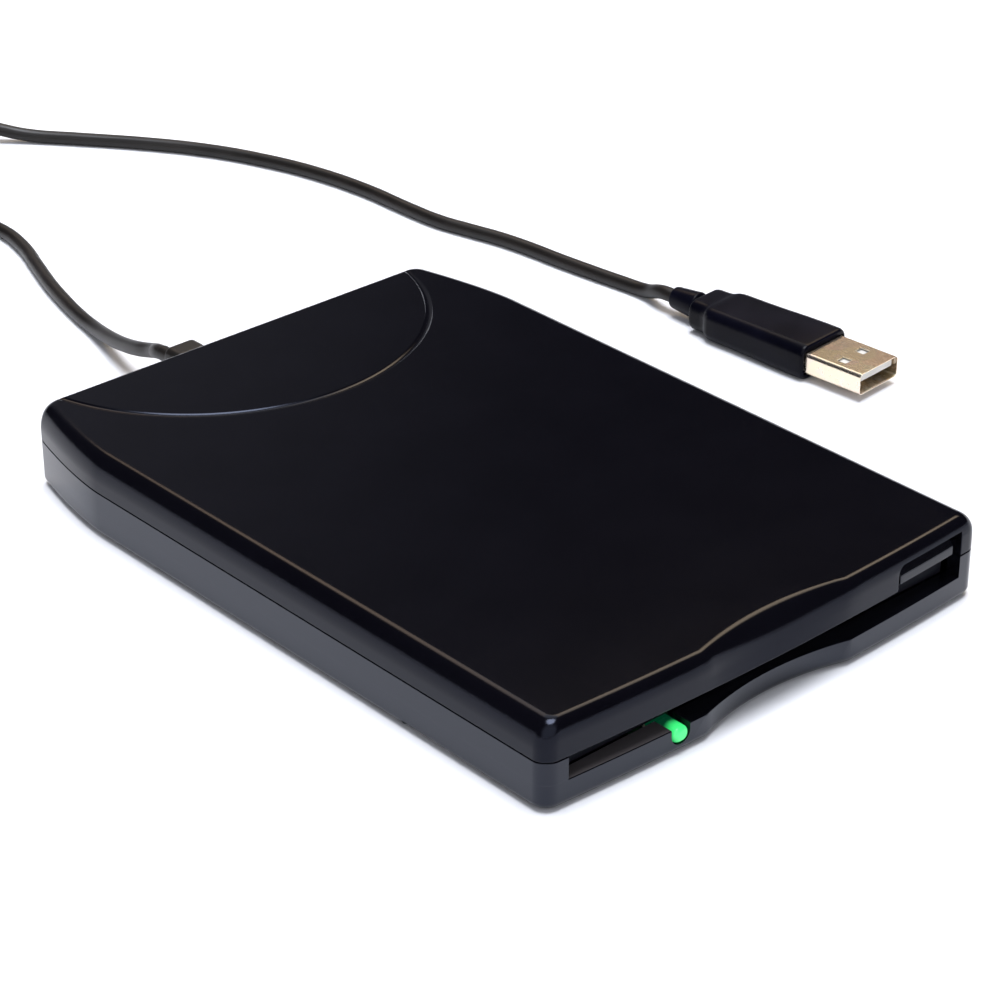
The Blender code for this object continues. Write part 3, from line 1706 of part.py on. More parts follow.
def make_strain_relief():
    def centred(name, width, height, front, rear):
        return block(
            name,
            (relief_place - width / 2, relief_place + width / 2),
            (front, rear),
            (relief_level - height / 2, relief_level + height / 2),
        )

    outer_front = rear_face + fit_gap
    outer_rear = outer_front + relief_block_depth
    inner_rear = cavity_rear - fit_gap
    relief = centred("strain_relief", relief_block_width, relief_block_height, outer_front, outer_rear)
    round_edges(relief, relief_edge)
    neck = centred("neck", relief_neck_width, relief_neck_height, inner_rear - overrun, outer_front + overrun)
    inner_front = inner_rear - relief_flange_depth
    flange = centred("flange", relief_block_width, relief_flange_height, inner_front, inner_rear)
    nose = nose_along_y(
        "nose",
        (relief_place, relief_level),
        relief_nose_radius,
        relief_nose_end_radius,
        outer_rear - relief_edge,
        outer_rear + relief_nose_length,
    )
    join(relief, neck, flange, nose)
    return finish(relief, rubber)


def nose_along_y(name, centre, front_radius, rear_radius, front, rear):
    """A round bar along Y that tapers to the rear."""
    rings = []
    for radius, y in ((front_radius, front), (rear_radius, rear)):
        rings.append([(x, y, z) for x, z in circle(radius, 24, centre)])
    return loft(name, rings)


def smooth_route(points, spacing):
    """Evenly spaced points on a smooth curve through the given points."""
    points = [Vector(point) for point in points]
    padded = [2 * points[0] - points[1], *points, 2 * points[-1] - points[-2]]
    fine = []
    for a, b, c, d in zip(padded, padded[1:], padded[2:], padded[3:]):
        for i in range(cord_steps):
            t = i / cord_steps
            pull = (c - a) * t + (2 * a - 5 * b + 4 * c - d) * t**2 + (3 * b - a - 3 * c + d) * t**3
            point = b + pull / 2
            point.z = max(point.z, cord_radius)
            fine.append(point)
    fine.append(points[-1])
    lengths = [0.0]
    for a, b in zip(fine, fine[1:]):
        lengths.append(lengths[-1] + (b - a).length)
    count = max(2, round(lengths[-1] / spacing))
    even = []
    k = 0
    for i in range(count + 1):
        wanted = lengths[-1] * i / count
        while k < len(fine) - 2 and lengths[k + 1] < wanted:
            k += 1
        share = (wanted - lengths[k]) / (lengths[k + 1] - lengths[k])
        even.append(fine[k].lerp(fine[k + 1], share))
    return even, lengths[-1]


def coil_path():
    """The coil's loops: in by a spiral on the table, a layer up, and out by another."""
    turn = math.tau * coil_turns
    count = round(coil_turn_steps * coil_turns)
    points = []
    for i in range(count + 1):
        angle = turn * i / count
        inward = min(angle, turn - angle) / math.tau
        radius = coil_radius - coil_spacing * inward
        climb = min(1.0, max(0.0, (angle - turn / 2) / math.pi + 0.5))
        x = coil_centre[0] - radius * math.cos(angle)
        y = coil_centre[1] + radius * math.sin(angle)
        points.append(Vector((x, y, cord_radius + coil_spacing * climb)))
    return points


def coil_self_gap(points):
    """Least distance between the surfaces of two turns."""
    least = coil_radius
    apart = coil_turn_steps // 4
    for i, a in enumerate(points):
        for b in points[i + apart:]:
            least = min(least, (a - b).length - 2 * cord_radius)
    return least


def plug_point(along, level):
    """A point on the plug's axis, this far behind the front of its grip."""
    x = plug_tip[0] - along * math.sin(plug_yaw)
    return Vector((x, plug_tip[1] + along * math.cos(plug_yaw), level))


def make_cord():
    loops = coil_path()
    entry = Vector((0.0, 1.0, 0.0))
    last = math.tau * coil_turns
    leave = Vector((math.sin(last), math.cos(last), 0.0))
    straight = 2 * cord_radius
    coil = [loops[0] - entry * straight, *loops, loops[-1] + leave * straight]
    print("coil gap to itself, mm:", round(coil_self_gap(loops) / mm, 3))
    start = Vector((relief_place, rear_face + fit_gap + relief_block_depth + relief_nose_length + fit_gap, relief_level))
    out = Vector((0.0, straight, 0.0))
    lead_end = coil[0] - entry * fit_gap
    lead, lead_length = smooth_route(
        [start + out, *lead_route, lead_end - entry * straight],
        cord_point_spacing,
    )
    lead = [start, *lead, lead_end]
    plug_level = grip_height / 2
    collar_end = grip_length + neck_length + collar_length + fit_gap
    tail_start = coil[-1] + leave * fit_gap
    tail, tail_length = smooth_route(
        [tail_start + leave * straight, *tail_route, plug_point(collar_end + straight, plug_level)],
        cord_point_spacing,
    )
    tail = [tail_start, *tail, plug_point(collar_end, plug_level)]
    coil_length = sum((b - a).length for a, b in zip(coil, coil[1:]))
    print("cord points:", len(lead) + len(tail))
    print("cord length, mm:", round((lead_length + tail_length + coil_length + 4 * straight) / mm))
    make_tube("cord_lead", lead, cord_radius, rubber)
    make_tube("cord_coil", coil, cord_radius, rubber, 1)
    make_tube("cord_tail", tail, cord_radius, rubber)


def rounded_rectangle(width, height, radius):
    """Outline of a rectangle about the origin, its corners rounded."""
    outline = []
    corners = ((1, -1, -0.5), (1, 1, 0.0), (-1, 1, 0.5), (-1, -1, 1.0))
    for across, up, first in corners:
        for i in range(round_steps + 1):
            angle = (first + i / round_steps / 2) * math.pi
            x = across * (width / 2 - radius) + radius * math.cos(angle)
            outline.append((x, up * (height / 2 - radius) + radius * math.sin(angle)))
    return outline


def bar_along_y(name, width, height, corner, front, rear, level):
    rings = []
    for y in (front, rear):
        rings.append([(x, y, z + level) for x, z in rounded_rectangle(width, height, corner)])
    return loft(name, rings)


def place_on_plug(made):
    """Turns a piece made along +Y from the grip's front into the plug's place."""
    made.location = (plug_tip[0], plug_tip[1], 0.0)
    made.rotation_euler = (0.0, 0.0, plug_yaw)
    return made


def make_plug():
    level = grip_height / 2
    rings = []
    for along, narrow, low in grip_shares:
        width = grip_width + narrow * (grip_rear_width - grip_width)
        height = grip_height + low * (grip_rear_height - grip_height)
        outline = rounded_rectangle(width, height, grip_corner)
        rings.append([(x, along * grip_length, z + level) for x, z in outline])
    grip = loft("plug_grip", rings)
    round_edges(grip, grip_edge, 2, 60.0)
    neck_end = grip_length + neck_length
    neck = nose_along_y("neck", (0.0, level), neck_radius, neck_radius, grip_length - grip_edge, neck_end + fit_gap)
    collar = nose_along_y(
        "collar",
        (0.0, level),
        collar_radius,
        collar_end_radius,
        neck_end,
        neck_end + collar_length,
    )
    join(grip, neck, collar)
    seat = bar_along_y(
        "shell_seat",
        shell_width + 2 * fit_gap,
        shell_height + 2 * fit_gap,
        shell_corner + fit_gap,
        -overrun,
        shell_seat,
        level,
    )
    cut(grip, seat)
    place_on_plug(finish(grip, rubber))
    seat_end = shell_seat - fit_gap
    shell = bar_along_y("plug_shell", shell_width, shell_height, shell_corner, -shell_length, seat_end, level)
    inner_width = shell_width - 2 * shell_sheet
    inner_height = shell_height - 2 * shell_sheet
    hollow = bar_along_y(
        "hollow",
        inner_width,
        inner_height,
        shell_corner - shell_sheet,
        -shell_length - overrun,
        seat_end + overrun,
        level,
    )
    cut(shell, hollow)
    half = shell_window / 2
    middle = shell_window_from_tip - shell_length + half
    for side in (-1, 1):
        centre = side * shell_window_place
        window = block(
            "window",
            (centre - half, centre + half),
            (middle - half, middle + half),
            (-overrun, grip_height + overrun),
        )
        cut(shell, window)
    place_on_plug(finish(shell, steel))
    tongue_half = inner_width / 2 - tongue_side_room
    tongue_top = level + inner_height / 2 - fit_gap
    tongue = block(
        "plug_tongue",
        (-tongue_half, tongue_half),
        (tongue_tip_inset - shell_length, seat_end),
        (tongue_top - tongue_plate_height, tongue_top),
    )
    place_on_plug(finish(tongue, white_plastic))


def build():
    clear_scene()
    make_top_cover()
    make_bottom_case()
    make_lamp_lens()
    make_feet()
    make_screws()
    make_eject_button()
    make_slider_plate()
    make_slider_spring()
    make_dust_door()
    make_door_spring()
    make_chassis()
    make_chassis_lid()
    make_disk_carrier()
    make_shutter_lever()
    make_spindle()
    make_guides()
    make_head_carriage()
    make_upper_arm()
    make_boards()
    make_strain_relief()
    make_cord()
    make_plug()


build()
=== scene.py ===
import json
import math

import bmesh
import bpy
from bpy.props import FloatProperty, FloatVectorProperty, PointerProperty
from mathutils import Matrix, Vector

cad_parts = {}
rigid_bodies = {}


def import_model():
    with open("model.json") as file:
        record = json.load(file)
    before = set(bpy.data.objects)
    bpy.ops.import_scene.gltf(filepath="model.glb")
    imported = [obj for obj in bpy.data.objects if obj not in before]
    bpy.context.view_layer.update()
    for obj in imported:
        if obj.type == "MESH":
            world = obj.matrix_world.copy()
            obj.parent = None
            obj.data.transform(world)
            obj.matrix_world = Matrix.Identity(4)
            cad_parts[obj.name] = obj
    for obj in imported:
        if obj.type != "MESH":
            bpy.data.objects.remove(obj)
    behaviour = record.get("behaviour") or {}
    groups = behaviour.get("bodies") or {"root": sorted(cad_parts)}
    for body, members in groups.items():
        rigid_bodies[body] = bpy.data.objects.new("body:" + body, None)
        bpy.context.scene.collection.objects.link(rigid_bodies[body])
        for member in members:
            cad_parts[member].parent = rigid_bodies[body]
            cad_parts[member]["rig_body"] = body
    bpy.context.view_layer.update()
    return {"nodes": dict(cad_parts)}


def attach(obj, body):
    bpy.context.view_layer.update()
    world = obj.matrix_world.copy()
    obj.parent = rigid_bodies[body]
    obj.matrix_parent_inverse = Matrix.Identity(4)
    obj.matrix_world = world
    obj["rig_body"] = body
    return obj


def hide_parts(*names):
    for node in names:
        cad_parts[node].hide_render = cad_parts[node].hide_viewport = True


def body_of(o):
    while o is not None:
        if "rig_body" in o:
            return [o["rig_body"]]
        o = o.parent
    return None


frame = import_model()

bl_info = {
    "name": "Floppy disk drive",
    "version": (1, 0, 0),
    "blender": (4, 5, 0),
    "location": "3D View > Sidebar > Drive",
    "description": "Detailed pieces, finishes and studio of an external USB floppy disk drive",
    "category": "Object",
}

mm = 0.001

# Levels of the case, from the table up
case_bottom = 0.4 * mm
floor_top = 1.6 * mm
slot_bottom = 5.2 * mm
split_low = 9.3 * mm  # top of the lower shell's wall
split_high = 9.4 * mm  # lower edge of the upper shell
ceiling = 14.6 * mm
case_top = 16.2 * mm

# Plan of the case
case_half = 50.8 * mm
front_face = -71.7 * mm
rear_face = 71.7 * mm
cavity_half = 49.0 * mm
cavity_front = -67.3 * mm
cavity_rear = 69.9 * mm
chassis_front = -60.8 * mm
slot_half = 45.9 * mm
front_bow = 1.94 * mm
corner_radius = 3.0 * mm
rear_corner_radius = 2.4 * mm
rear_taper = 4.5 * mm
rear_taper_length = 24.5 * mm
taper_power = 1.5
scoop_half = 17.0 * mm
scoop_top_depth = 2.6 * mm
scoop_low_depth = 2.9 * mm
side_shoulder = 3.5 * mm
front_shoulder = 2.4 * mm
rear_shoulder = 1.5 * mm
shoulder_height_share = 1.35  # how much taller than deep the shoulders are
bottom_edge = 1.5 * mm
fit_gap = 0.3 * mm
overrun = 1.0 * mm

# Openings and fittings of the case
pocket_length = 17.0 * mm
pocket_height = 4.7 * mm
pocket_corner = 1.6 * mm
groove_radius = 43.1 * mm
groove_width = 1.5 * mm
groove_depth = 0.26 * mm
groove_centre = (0.0, 81.6 * mm)
relief_x = -10.5 * mm
relief_level = 11.0 * mm
door_y = -65.98 * mm
door_level = 10.1 * mm
door_pin_radius = 0.5 * mm
door_barrel_radius = 0.6 * mm
door_bearing_radius = 0.8 * mm
post_x = 38.0 * mm
post_y = 63.5 * mm
post_radius = 3.2 * mm
boss_radius = 3.4 * mm
screw_y = (-45.0 * mm, 36.0 * mm)
screw_hole_radius = 1.3 * mm
screw_head_radius = 2.2 * mm
foot_x = 39.0 * mm
foot_y = (-60.0 * mm, 50.0 * mm)
foot_radius = 4.0 * mm
foot_recess_radius = 4.3 * mm
edge_relief_start = 16.7 * mm
edge_relief_length = 19.0 * mm
edge_relief_depth = 1.3 * mm
edge_relief_heights = (0.75 * mm, 1.25 * mm)  # at its front and its rear
lamp_x = -22.6 * mm
lamp_width = 3.4 * mm
lamp_height = 2.8 * mm

# Plug, in its own frame: along +Y from the front of its grip
plug_tip = (94.4 * mm, 5.9 * mm)
plug_yaw = math.radians(4.5)
grip_length = 31.0 * mm
plug_level = 3.8 * mm
shell_length = 13.5 * mm
shell_width = 12.0 * mm
shell_height = 4.5 * mm
shell_seat = 1.7 * mm  # how far the shell goes into the grip

# Cord
cord_radius = 1.5 * mm
coil_turns = 2.375
coil_radius = 19.15 * mm
coil_spacing = 3.5 * mm
coil_centre = (14.0 * mm, 214.0 * mm)
lead_route = (
    (-10.5, 81.2, 11.0),
    (-10.3, 83.6, 10.6),
    (-9.12, 86.4, 9.3),
    (-8.65, 92.2, 7.4),
    (-7.41, 99.0, 5.4),
    (-5.48, 107.0, 3.4),
    (-3.42, 115.2, 1.9),
    (-1.96, 122.5, 1.5),
    (-0.11, 130.5, 1.5),
    (2.3, 139.2, 1.5),
    (5.6, 149.0, 1.5),
    (8.8, 158.6, 1.5),
    (10.3, 168.5, 1.5),
    (9.0, 178.5, 1.5),
    (4.8, 188.5, 1.5),
    (-0.6, 197.5, 1.5),
)
tail_route = (
    (37.5, 217.6, 3.9),
    (44.5, 210.4, 1.9),
    (53.0, 200.5, 1.5),
    (62.0, 189.0, 1.5),
    (70.5, 176.0, 1.5),
    (76.8, 162.0, 1.5),
    (81.0, 147.5, 1.5),
    (83.0, 132.8, 1.5),
    (83.3, 118.7, 1.5),
    (83.9, 109.3, 1.5),
    (85.7, 101.5, 1.5),
    (87.6, 93.8, 1.5),
    (88.8, 85.6, 1.5),
    (89.5, 76.9, 1.5),
    (90.4, 68.7, 1.5),
    (91.4, 60.9, 1.5),
    (92.0, 53.3, 1.9),
)


# Shader maths


class Socket:
    """An output in a node tree; Python's operators on it add Math nodes."""

    def __init__(self, tree, output):
        self.tree = tree
        self.output = output

    def maths(self, operation, *values):
        return self.tree.add("ShaderNodeMath", {"operation": operation}, dict(enumerate(values)))

    def __add__(self, other):
        return self.maths("ADD", self, other)

    __radd__ = __add__

    def __sub__(self, other):
        return self.maths("SUBTRACT", self, other)

    def __rsub__(self, other):
        return self.maths("SUBTRACT", other, self)

    def __mul__(self, other):
        return self.maths("MULTIPLY", self, other)

    __rmul__ = __mul__

    def step(self, low, high, start=0.0, end=1.0):
        """A smooth step from start to end as the value passes from low to high."""
        return self.tree.add(
            "ShaderNodeMapRange",
            {"interpolation_type": "SMOOTHSTEP"},
            {"Value": self, "From Min": low, "From Max": high, "To Min": start, "To Max": end},
        )


class Finish:
    """A node tree under work, with its shader's sockets at hand."""

    def __init__(self, owner, shader="Principled BSDF"):
        owner.use_nodes = True
        self.owner = owner
        self.nodes = owner.node_tree.nodes
        self.links = owner.node_tree.links
        self.shader = self.nodes[shader]

    def feed(self, socket, value):
        if isinstance(value, Socket):
            self.links.new(value.output, socket)
        elif isinstance(value, tuple) and socket.type == "RGBA":
            socket.default_value = (*value, 1.0)
        else:
            socket.default_value = value

    def add(self, kind, settings, sockets, output=0):
        node = self.nodes.new(kind)
        for name, value in settings.items():
            setattr(node, name, value)
        for name, value in sockets.items():
            self.feed(node.inputs[name], value)
        return Socket(self, node.outputs[output])

    def set(self, **sockets):
        """Feeds the shader's sockets, their names written with _ for a space."""
        for name, value in sockets.items():
            self.feed(self.shader.inputs[name.replace("_", " ")], value)
        return self.owner

    def place(self):
        return self.add("ShaderNodeTexCoord", {}, {}, "Object")

    def stretched(self, place, scale):
        return self.add("ShaderNodeMapping", {}, {"Vector": place, "Scale": scale})

    def along(self, vector, axis):
        return self.add("ShaderNodeSeparateXYZ", {}, {"Vector": vector}, axis)

    def noise(self, place, scale, detail=2.0):
        return self.add("ShaderNodeTexNoise", {}, {"Vector": place, "Scale": scale, "Detail": detail})

    def cells(self, place, scale, output="Distance"):
        return self.add("ShaderNodeTexVoronoi", {}, {"Vector": place, "Scale": scale}, output)

    def bands(self, place, scale, direction, distortion=0.0):
        return self.add(
            "ShaderNodeTexWave",
            {"wave_type": "BANDS", "bands_direction": direction},
            {"Vector": place, "Scale": scale, "Distortion": distortion},
            "Fac",
        )

    def blend(self, share, first, second):
        """A colour between two others."""
        return self.add("ShaderNodeMix", {"data_type": "RGBA"}, {0: share, 6: first, 7: second}, 2)

    def bump(self, height, strength, depth):
        return self.add("ShaderNodeBump", {}, {"Height": height, "Strength": strength, "Distance": depth})


def shade(colour, share):
    return tuple(channel * share for channel in colour)


# Finishes


def moulded(name, colour, roughness, ior=1.5, grain=1.0, ledge_level=None, sheen=0.5, tint=(0.8, 0.86, 1.0)):
    """Injection moulded plastic: a fine spark-eroded grain, faint clouding and a little dust.

    A ledge at the given level is paler and duller from the left end as far as the lamp.
    """
    made = Finish(bpy.data.materials.new(name))
    place = made.place()
    fine = made.noise(place, 9000.0, 2.0)
    cloud = made.noise(place, 70.0, 3.0)
    specks = made.cells(place, 420.0).step(0.02, 0.045, 1.0, 0.0) * made.noise(place, 33.0).step(0.55, 0.7)
    tone = made.blend(cloud.step(0.3, 0.7), shade(colour, 0.9), shade(colour, 1.1))
    paler_ledge = 0.0
    # Paler, duller colour on the ledge's flat top, left of the lamp.
    if ledge_level:
        level = made.along(place, "Z")
        near = 0.003 * mm
        far = 0.008 * mm
        fade = 3.0 * mm
        paler_ledge = level.step(ledge_level - far, ledge_level - near)
        paler_ledge = paler_ledge * level.step(ledge_level + near, ledge_level + far, 1.0, 0.0)
        paler_ledge = paler_ledge * made.along(place, "X").step(lamp_x - fade, lamp_x + fade, 1.0, 0.0)
        tone = made.blend(paler_ledge, tone, (0.07, 0.062, 0.062))
    return made.set(
        Base_Color=made.blend(specks * 0.2, tone, (0.1, 0.1, 0.11)),
        Roughness=roughness + (cloud - 0.5) * 0.03 + (fine - 0.5) * 0.05 + specks * 0.15 + 0.3 * paler_ledge,
        IOR=ior,
        Specular_IOR_Level=sheen,
        Specular_Tint=tint,
        Normal=made.bump(fine, 0.25 * grain, 0.00003),
    )


def soft_vinyl(name, colour, roughness, sheen=0.5):
    """Flexible vinyl: a dull skin with a coarser grain and flow marks."""
    made = Finish(bpy.data.materials.new(name))
    place = made.place()
    grain = made.noise(place, 4200.0, 3.0)
    cloud = made.noise(place, 120.0, 3.0)
    return made.set(
        Base_Color=made.blend(cloud.step(0.3, 0.7), shade(colour, 0.75), shade(colour, 1.3)),
        Roughness=roughness + (cloud - 0.5) * 0.12,
        IOR=1.5,
        Specular_IOR_Level=sheen,
        Normal=made.bump(grain, 0.35, 0.00005),
    )


def sheet_metal(name, colour, roughness, direction=(500.0, 14000.0, 500.0), wear=1.0):
    """Rolled and plated sheet: drawn lines, faint spangle and a few fingermarks."""
    made = Finish(bpy.data.materials.new(name))
    place = made.place()
    drawn = made.noise(made.stretched(place, direction), 1.0, 3.0)
    spangle = made.cells(place, 260.0, "Color")
    mark = made.noise(place, 45.0, 4.0)
    tone = made.blend(mark.step(0.35, 0.7), shade(colour, 0.86), colour)
    return made.set(
        Base_Color=made.blend(0.06, tone, spangle),
        Metallic=1.0,
        Roughness=roughness + (drawn - 0.5) * (0.18 * wear) + (mark - 0.5) * (0.14 * wear),
        Normal=made.bump(drawn, 0.12 * wear, 0.00002),
    )


def turned_metal(name, colour, roughness):
    """Drawn wire and turned parts: fine rings and a slight tarnish."""
    made = Finish(bpy.data.materials.new(name))
    place = made.place()
    rings = made.noise(place, 3000.0, 2.0)
    tarnish = made.noise(place, 300.0, 3.0)
    return made.set(
        Base_Color=made.blend(tarnish.step(0.35, 0.75), colour, shade(colour, 0.7)),
        Metallic=1.0,
        Roughness=roughness + (tarnish - 0.5) * 0.2,
        Normal=made.bump(rings, 0.1, 0.00002),
    )


def circuit_board(name, mask, track):
    """Solder mask over copper tracks, with tinned vias."""
    made = Finish(bpy.data.materials.new(name))
    place = made.place()
    along = made.bands(place, 190.0, "Y", 1.5).step(0.55, 0.7)
    across = made.bands(place, 230.0, "X", 2.5).step(0.55, 0.7)
    field = made.noise(place, 55.0).step(0.48, 0.52)
    tracks = along * field + across * (1.0 - field)
    vias = made.cells(place, 230.0).step(0.1, 0.14, 1.0, 0.0)
    tone = made.blend(tracks * 0.6, mask, track)
    return made.set(
        Base_Color=made.blend(vias, tone, (0.6, 0.6, 0.56)),
        Metallic=vias,
        Roughness=0.32 + vias * 0.1,
        Normal=made.bump(tracks + vias, 0.3, 0.00004),
    )


def sintered(name, colour, roughness):
    """Ferrite and magnet material: matt, with bright grains."""
    made = Finish(bpy.data.materials.new(name))
    place = made.place()
    grains = made.cells(place, 5000.0)
    cloud = made.noise(place, 400.0, 3.0)
    return made.set(
        Base_Color=made.blend(grains.step(0.1, 0.6), shade(colour, 1.6), colour),
        Roughness=roughness + (cloud - 0.5) * 0.2,
        Normal=made.bump(grains, 0.3, 0.00003),
    )


def flat_cable(name, film, foil):
    """Ribbon of flat conductors under a film."""
    made = Finish(bpy.data.materials.new(name))
    place = made.place()
    foils = made.bands(place, 330.0, "X").step(0.35, 0.6)
    return made.set(
        Base_Color=made.blend(foils, film, foil),
        Roughness=0.35 + made.noise(place, 500.0) * 0.1,
        Normal=made.bump(foils, 0.4, 0.00005),
    )


def lit_lens(name, core, rim, middle, strength):
    """Green light guide, brightest about its middle, where its base colour is paler too: painted glow."""
    made = Finish(bpy.data.materials.new(name))
    place = made.place()
    depth_share = 0.9
    flat = made.stretched(place, (1.0, depth_share, 1.0))
    aim = (middle[0], depth_share * middle[1], middle[2])
    away = made.add("ShaderNodeVectorMath", {"operation": "DISTANCE"}, {0: flat, 1: aim}, "Value")
    spread = made.noise(place, 900.0, 2.0)
    bright_radius = 1.0 * mm
    dark_radius = 2.7 * mm
    dim = (away + (spread - 0.5) * (0.2 * mm)).step(bright_radius, dark_radius)
    return made.set(
        # Paler green base colour near the middle: the lamp's glow painted into the lens's own colour.
        Base_Color=made.blend(dim, (0.03, 0.2, 0.08), (0.004, 0.03, 0.014)),
        Roughness=0.22 + spread * 0.06,
        Emission_Color=made.blend(dim, core, rim),
        Emission_Strength=strength,
        Normal=made.bump(spread, 0.1, 0.00002),
    )


# Solids in mesh code


def put(name, data):
    made = bpy.data.objects.new(name, data)
    bpy.context.scene.collection.objects.link(made)
    return made


def object_from(name, bm):
    bmesh.ops.recalc_face_normals(bm, faces=bm.faces)
    mesh = bpy.data.meshes.new(name)
    bm.to_mesh(mesh)
    bm.free()
    return put(name, mesh)


def loft(name, rings, closed=False):
    """A body through rings of as many points each, capped, or closed on itself."""
    bm = bmesh.new()
    laid = [[bm.verts.new(point) for point in ring] for ring in rings]
    pairs = list(zip(laid, laid[1:]))
    if closed:
        pairs.append((laid[-1], laid[0]))
    for low, high in pairs:
        for i in range(len(low)):
            j = (i + 1) % len(low)
            bm.faces.new((low[i], low[j], high[j], high[i]))
    if not closed:
        bm.faces.new(laid[0])
        bm.faces.new(laid[-1])
    return object_from(name, bm)


def prism(name, outline, low, high):
    return loft(name, [[(x, y, z) for x, y in outline] for z in (low, high)])


def side_prism(name, outline, left, right):
    return loft(name, [[(x, y, z) for y, z in outline] for x in (left, right)])


def front_prism(name, outline, front, rear):
    return loft(name, [facing(y, outline) for y in (front, rear)])


def block(name, across, along, up):
    (x0, x1), (y0, y1) = across, along
    return prism(name, [(x0, y0), (x1, y0), (x1, y1), (x0, y1)], *up)


def circle(radius, sides, centre=(0.0, 0.0)):
    step = math.tau / sides
    return [
        (centre[0] + radius * math.cos(i * step), centre[1] + radius * math.sin(i * step))
        for i in range(sides)
    ]


def upright(name, centre, radius, low, high, sides=40):
    return prism(name, circle(radius, sides, centre), low, high)


def crosswise(name, centre, radius, left, right, sides=24):
    return side_prism(name, circle(radius, sides, centre), left, right)


def stacked(name, centre, steps, sides=48, closed=False):
    """Rounds one upon another, each a (radius, level) pair, or closed into a ring."""
    rings = [[(x, y, z) for x, y in circle(radius, sides, centre)] for radius, z in steps]
    return loft(name, rings, closed)


def facing(y, outline):
    """An (x, z) outline stood up at a depth."""
    return [(x, y, z) for x, z in outline]


def wire_curve(name, roundness):
    """A curve as thick as the radii of its points."""
    curve = bpy.data.curves.new(name, "CURVE")
    curve.dimensions = "3D"
    curve.bevel_depth = 1.0
    curve.bevel_resolution = roundness
    curve.use_fill_caps = True
    return curve


def baked(made):
    """Applies a piece's modifiers."""
    depsgraph = bpy.context.evaluated_depsgraph_get()
    mesh = bpy.data.meshes.new_from_object(made.evaluated_get(depsgraph))
    made.modifiers.clear()
    made.data = mesh
    mesh.name = made.name
    return made


def combine(made, operation, tools):
    for tool in tools:
        modifier = made.modifiers.new(operation.lower(), "BOOLEAN")
        modifier.operation = operation
        modifier.solver = "EXACT"
        modifier.object = tool
        baked(made)
        bpy.data.objects.remove(tool)
    return made


def join(made, *tools):
    return combine(made, "UNION", tools)


def cut(made, *tools):
    return combine(made, "DIFFERENCE", tools)


def round_edges(made, width, segments=3, sharper=40.0):
    bevel = made.modifiers.new("rounded edges", "BEVEL")
    bevel.width = width
    bevel.segments = segments
    bevel.limit_method = "ANGLE"
    bevel.angle_limit = math.radians(sharper)
    return baked(made)


def smooth(made, below=35.0):
    """Smooth shading that keeps flat faces flat."""
    made.data.shade_smooth()
    made.data.set_sharp_from_angle(angle=math.radians(below))
    modifier = made.modifiers.new("even shading", "WEIGHTED_NORMAL")
    modifier.keep_sharp = True
    return made


def arc(count, start=0.0, end=90.0):
    """Angles of an arc from start to end in degrees."""
    return [math.radians(start + (end - start) * i / count) for i in range(count + 1)]


def dress(made, finish):
    made.data.materials.clear()
    made.data.materials.append(finish)
    return made


def stand_in(made, node, finish, *others):
    """Puts a piece in the place of its CAD nodes."""
    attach(made, body_of(frame["nodes"][node])[0])
    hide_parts(node, *others)
    return dress(made, finish)


def extra(made, body, finish):
    """Adds a piece that has no CAD node of its own."""
    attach(made, body)
    return dress(made, finish)


# Outline of the case


def bow(x):
    return front_bow * (x / case_half) ** 2


def hollow(x, depth):
    return depth * max(0.0, 1.0 - (x / scoop_half) ** 2)


def plan_outline(half, front, rear, corner, rear_corner, scoop=0.0, bowed=1.0, steps=10):
    """Plan outline of the case, anticlockwise from the middle of its front."""
    run = half - corner - scoop_half
    across = [i / steps * scoop_half for i in range(steps + 1)]
    across += [scoop_half + i / steps * run for i in range(1, steps + 1)]
    right = [(x, front + bowed * bow(x) + hollow(x, scoop)) for x in across]
    turn_x, turn_y = right[-1]
    for angle in arc(steps, -90.0, 0.0)[1:]:
        right.append((turn_x + corner * math.cos(angle), turn_y + corner * (1.0 + math.sin(angle))))
    taper_start = rear_face - rear_taper_length
    lean = math.atan(rear_taper * taper_power / rear_taper_length)
    turn_start = rear - rear_corner * (1.0 - math.sin(lean))

    def side(y):
        share = max(0.0, (y - taper_start) / rear_taper_length)
        return half - rear_taper * share**taper_power

    for i in range(steps):
        y = taper_start + i / steps * (turn_start - taper_start)
        right.append((side(y), y))
    turn_x = side(turn_start) - rear_corner * math.cos(lean)
    for angle in arc(steps, math.degrees(lean), 90.0):
        right.append((turn_x + rear_corner * math.cos(angle), rear - rear_corner * (1.0 - math.sin(angle))))
    right.append((0.0, rear))
    return right + [(-x, y) for x, y in reversed(right[1:-1])]


def edge_inset(radius, level, edge_level, tall=1.0):
    into = max(0.0, radius - abs(edge_level - level) / tall)
    return radius - math.sqrt(max(0.0, radius**2 - into**2))


def shell_ring(level, edge_level, radii, lip_level, lip, scoop, tall=1.0):
    """Outline of the case at a level, drawn in at its outer edge and at its parting line."""
    parting = edge_inset(lip, level, lip_level)
    side_in, front_in, rear_in = [edge_inset(radius, level, edge_level, tall) + parting for radius in radii]
    outline = plan_outline(
        case_half - side_in,
        front_face + front_in,
        rear_face - rear_in,
        corner_radius - side_in / 2,
        rear_corner_radius,
        scoop,
    )
    return [(x, y, level) for x, y in outline]


def cavity_cutter(low, high):
    corner = 1.0 * mm
    return prism(
        "cavity",
        plan_outline(cavity_half, cavity_front, cavity_rear, corner, corner, bowed=0.0, steps=6),
        low,
        high,
    )


def joint_cutter(beyond, low, high):
    inset = 1.0 * mm - beyond
    outline = plan_outline(
        case_half - inset,
        chassis_front - beyond,
        rear_face - inset,
        1.0 * mm,
        rear_corner_radius,
        bowed=0.0,
        steps=6,
    )
    return prism("joint", outline, low, high)


def relief_notch():
    half = 2.9 * mm
    high = 3.1 * mm
    return block(
        "relief_notch",
        (relief_x - half, relief_x + half),
        (cavity_rear - overrun, rear_face + overrun),
        (relief_level - high, relief_level + high),
    )


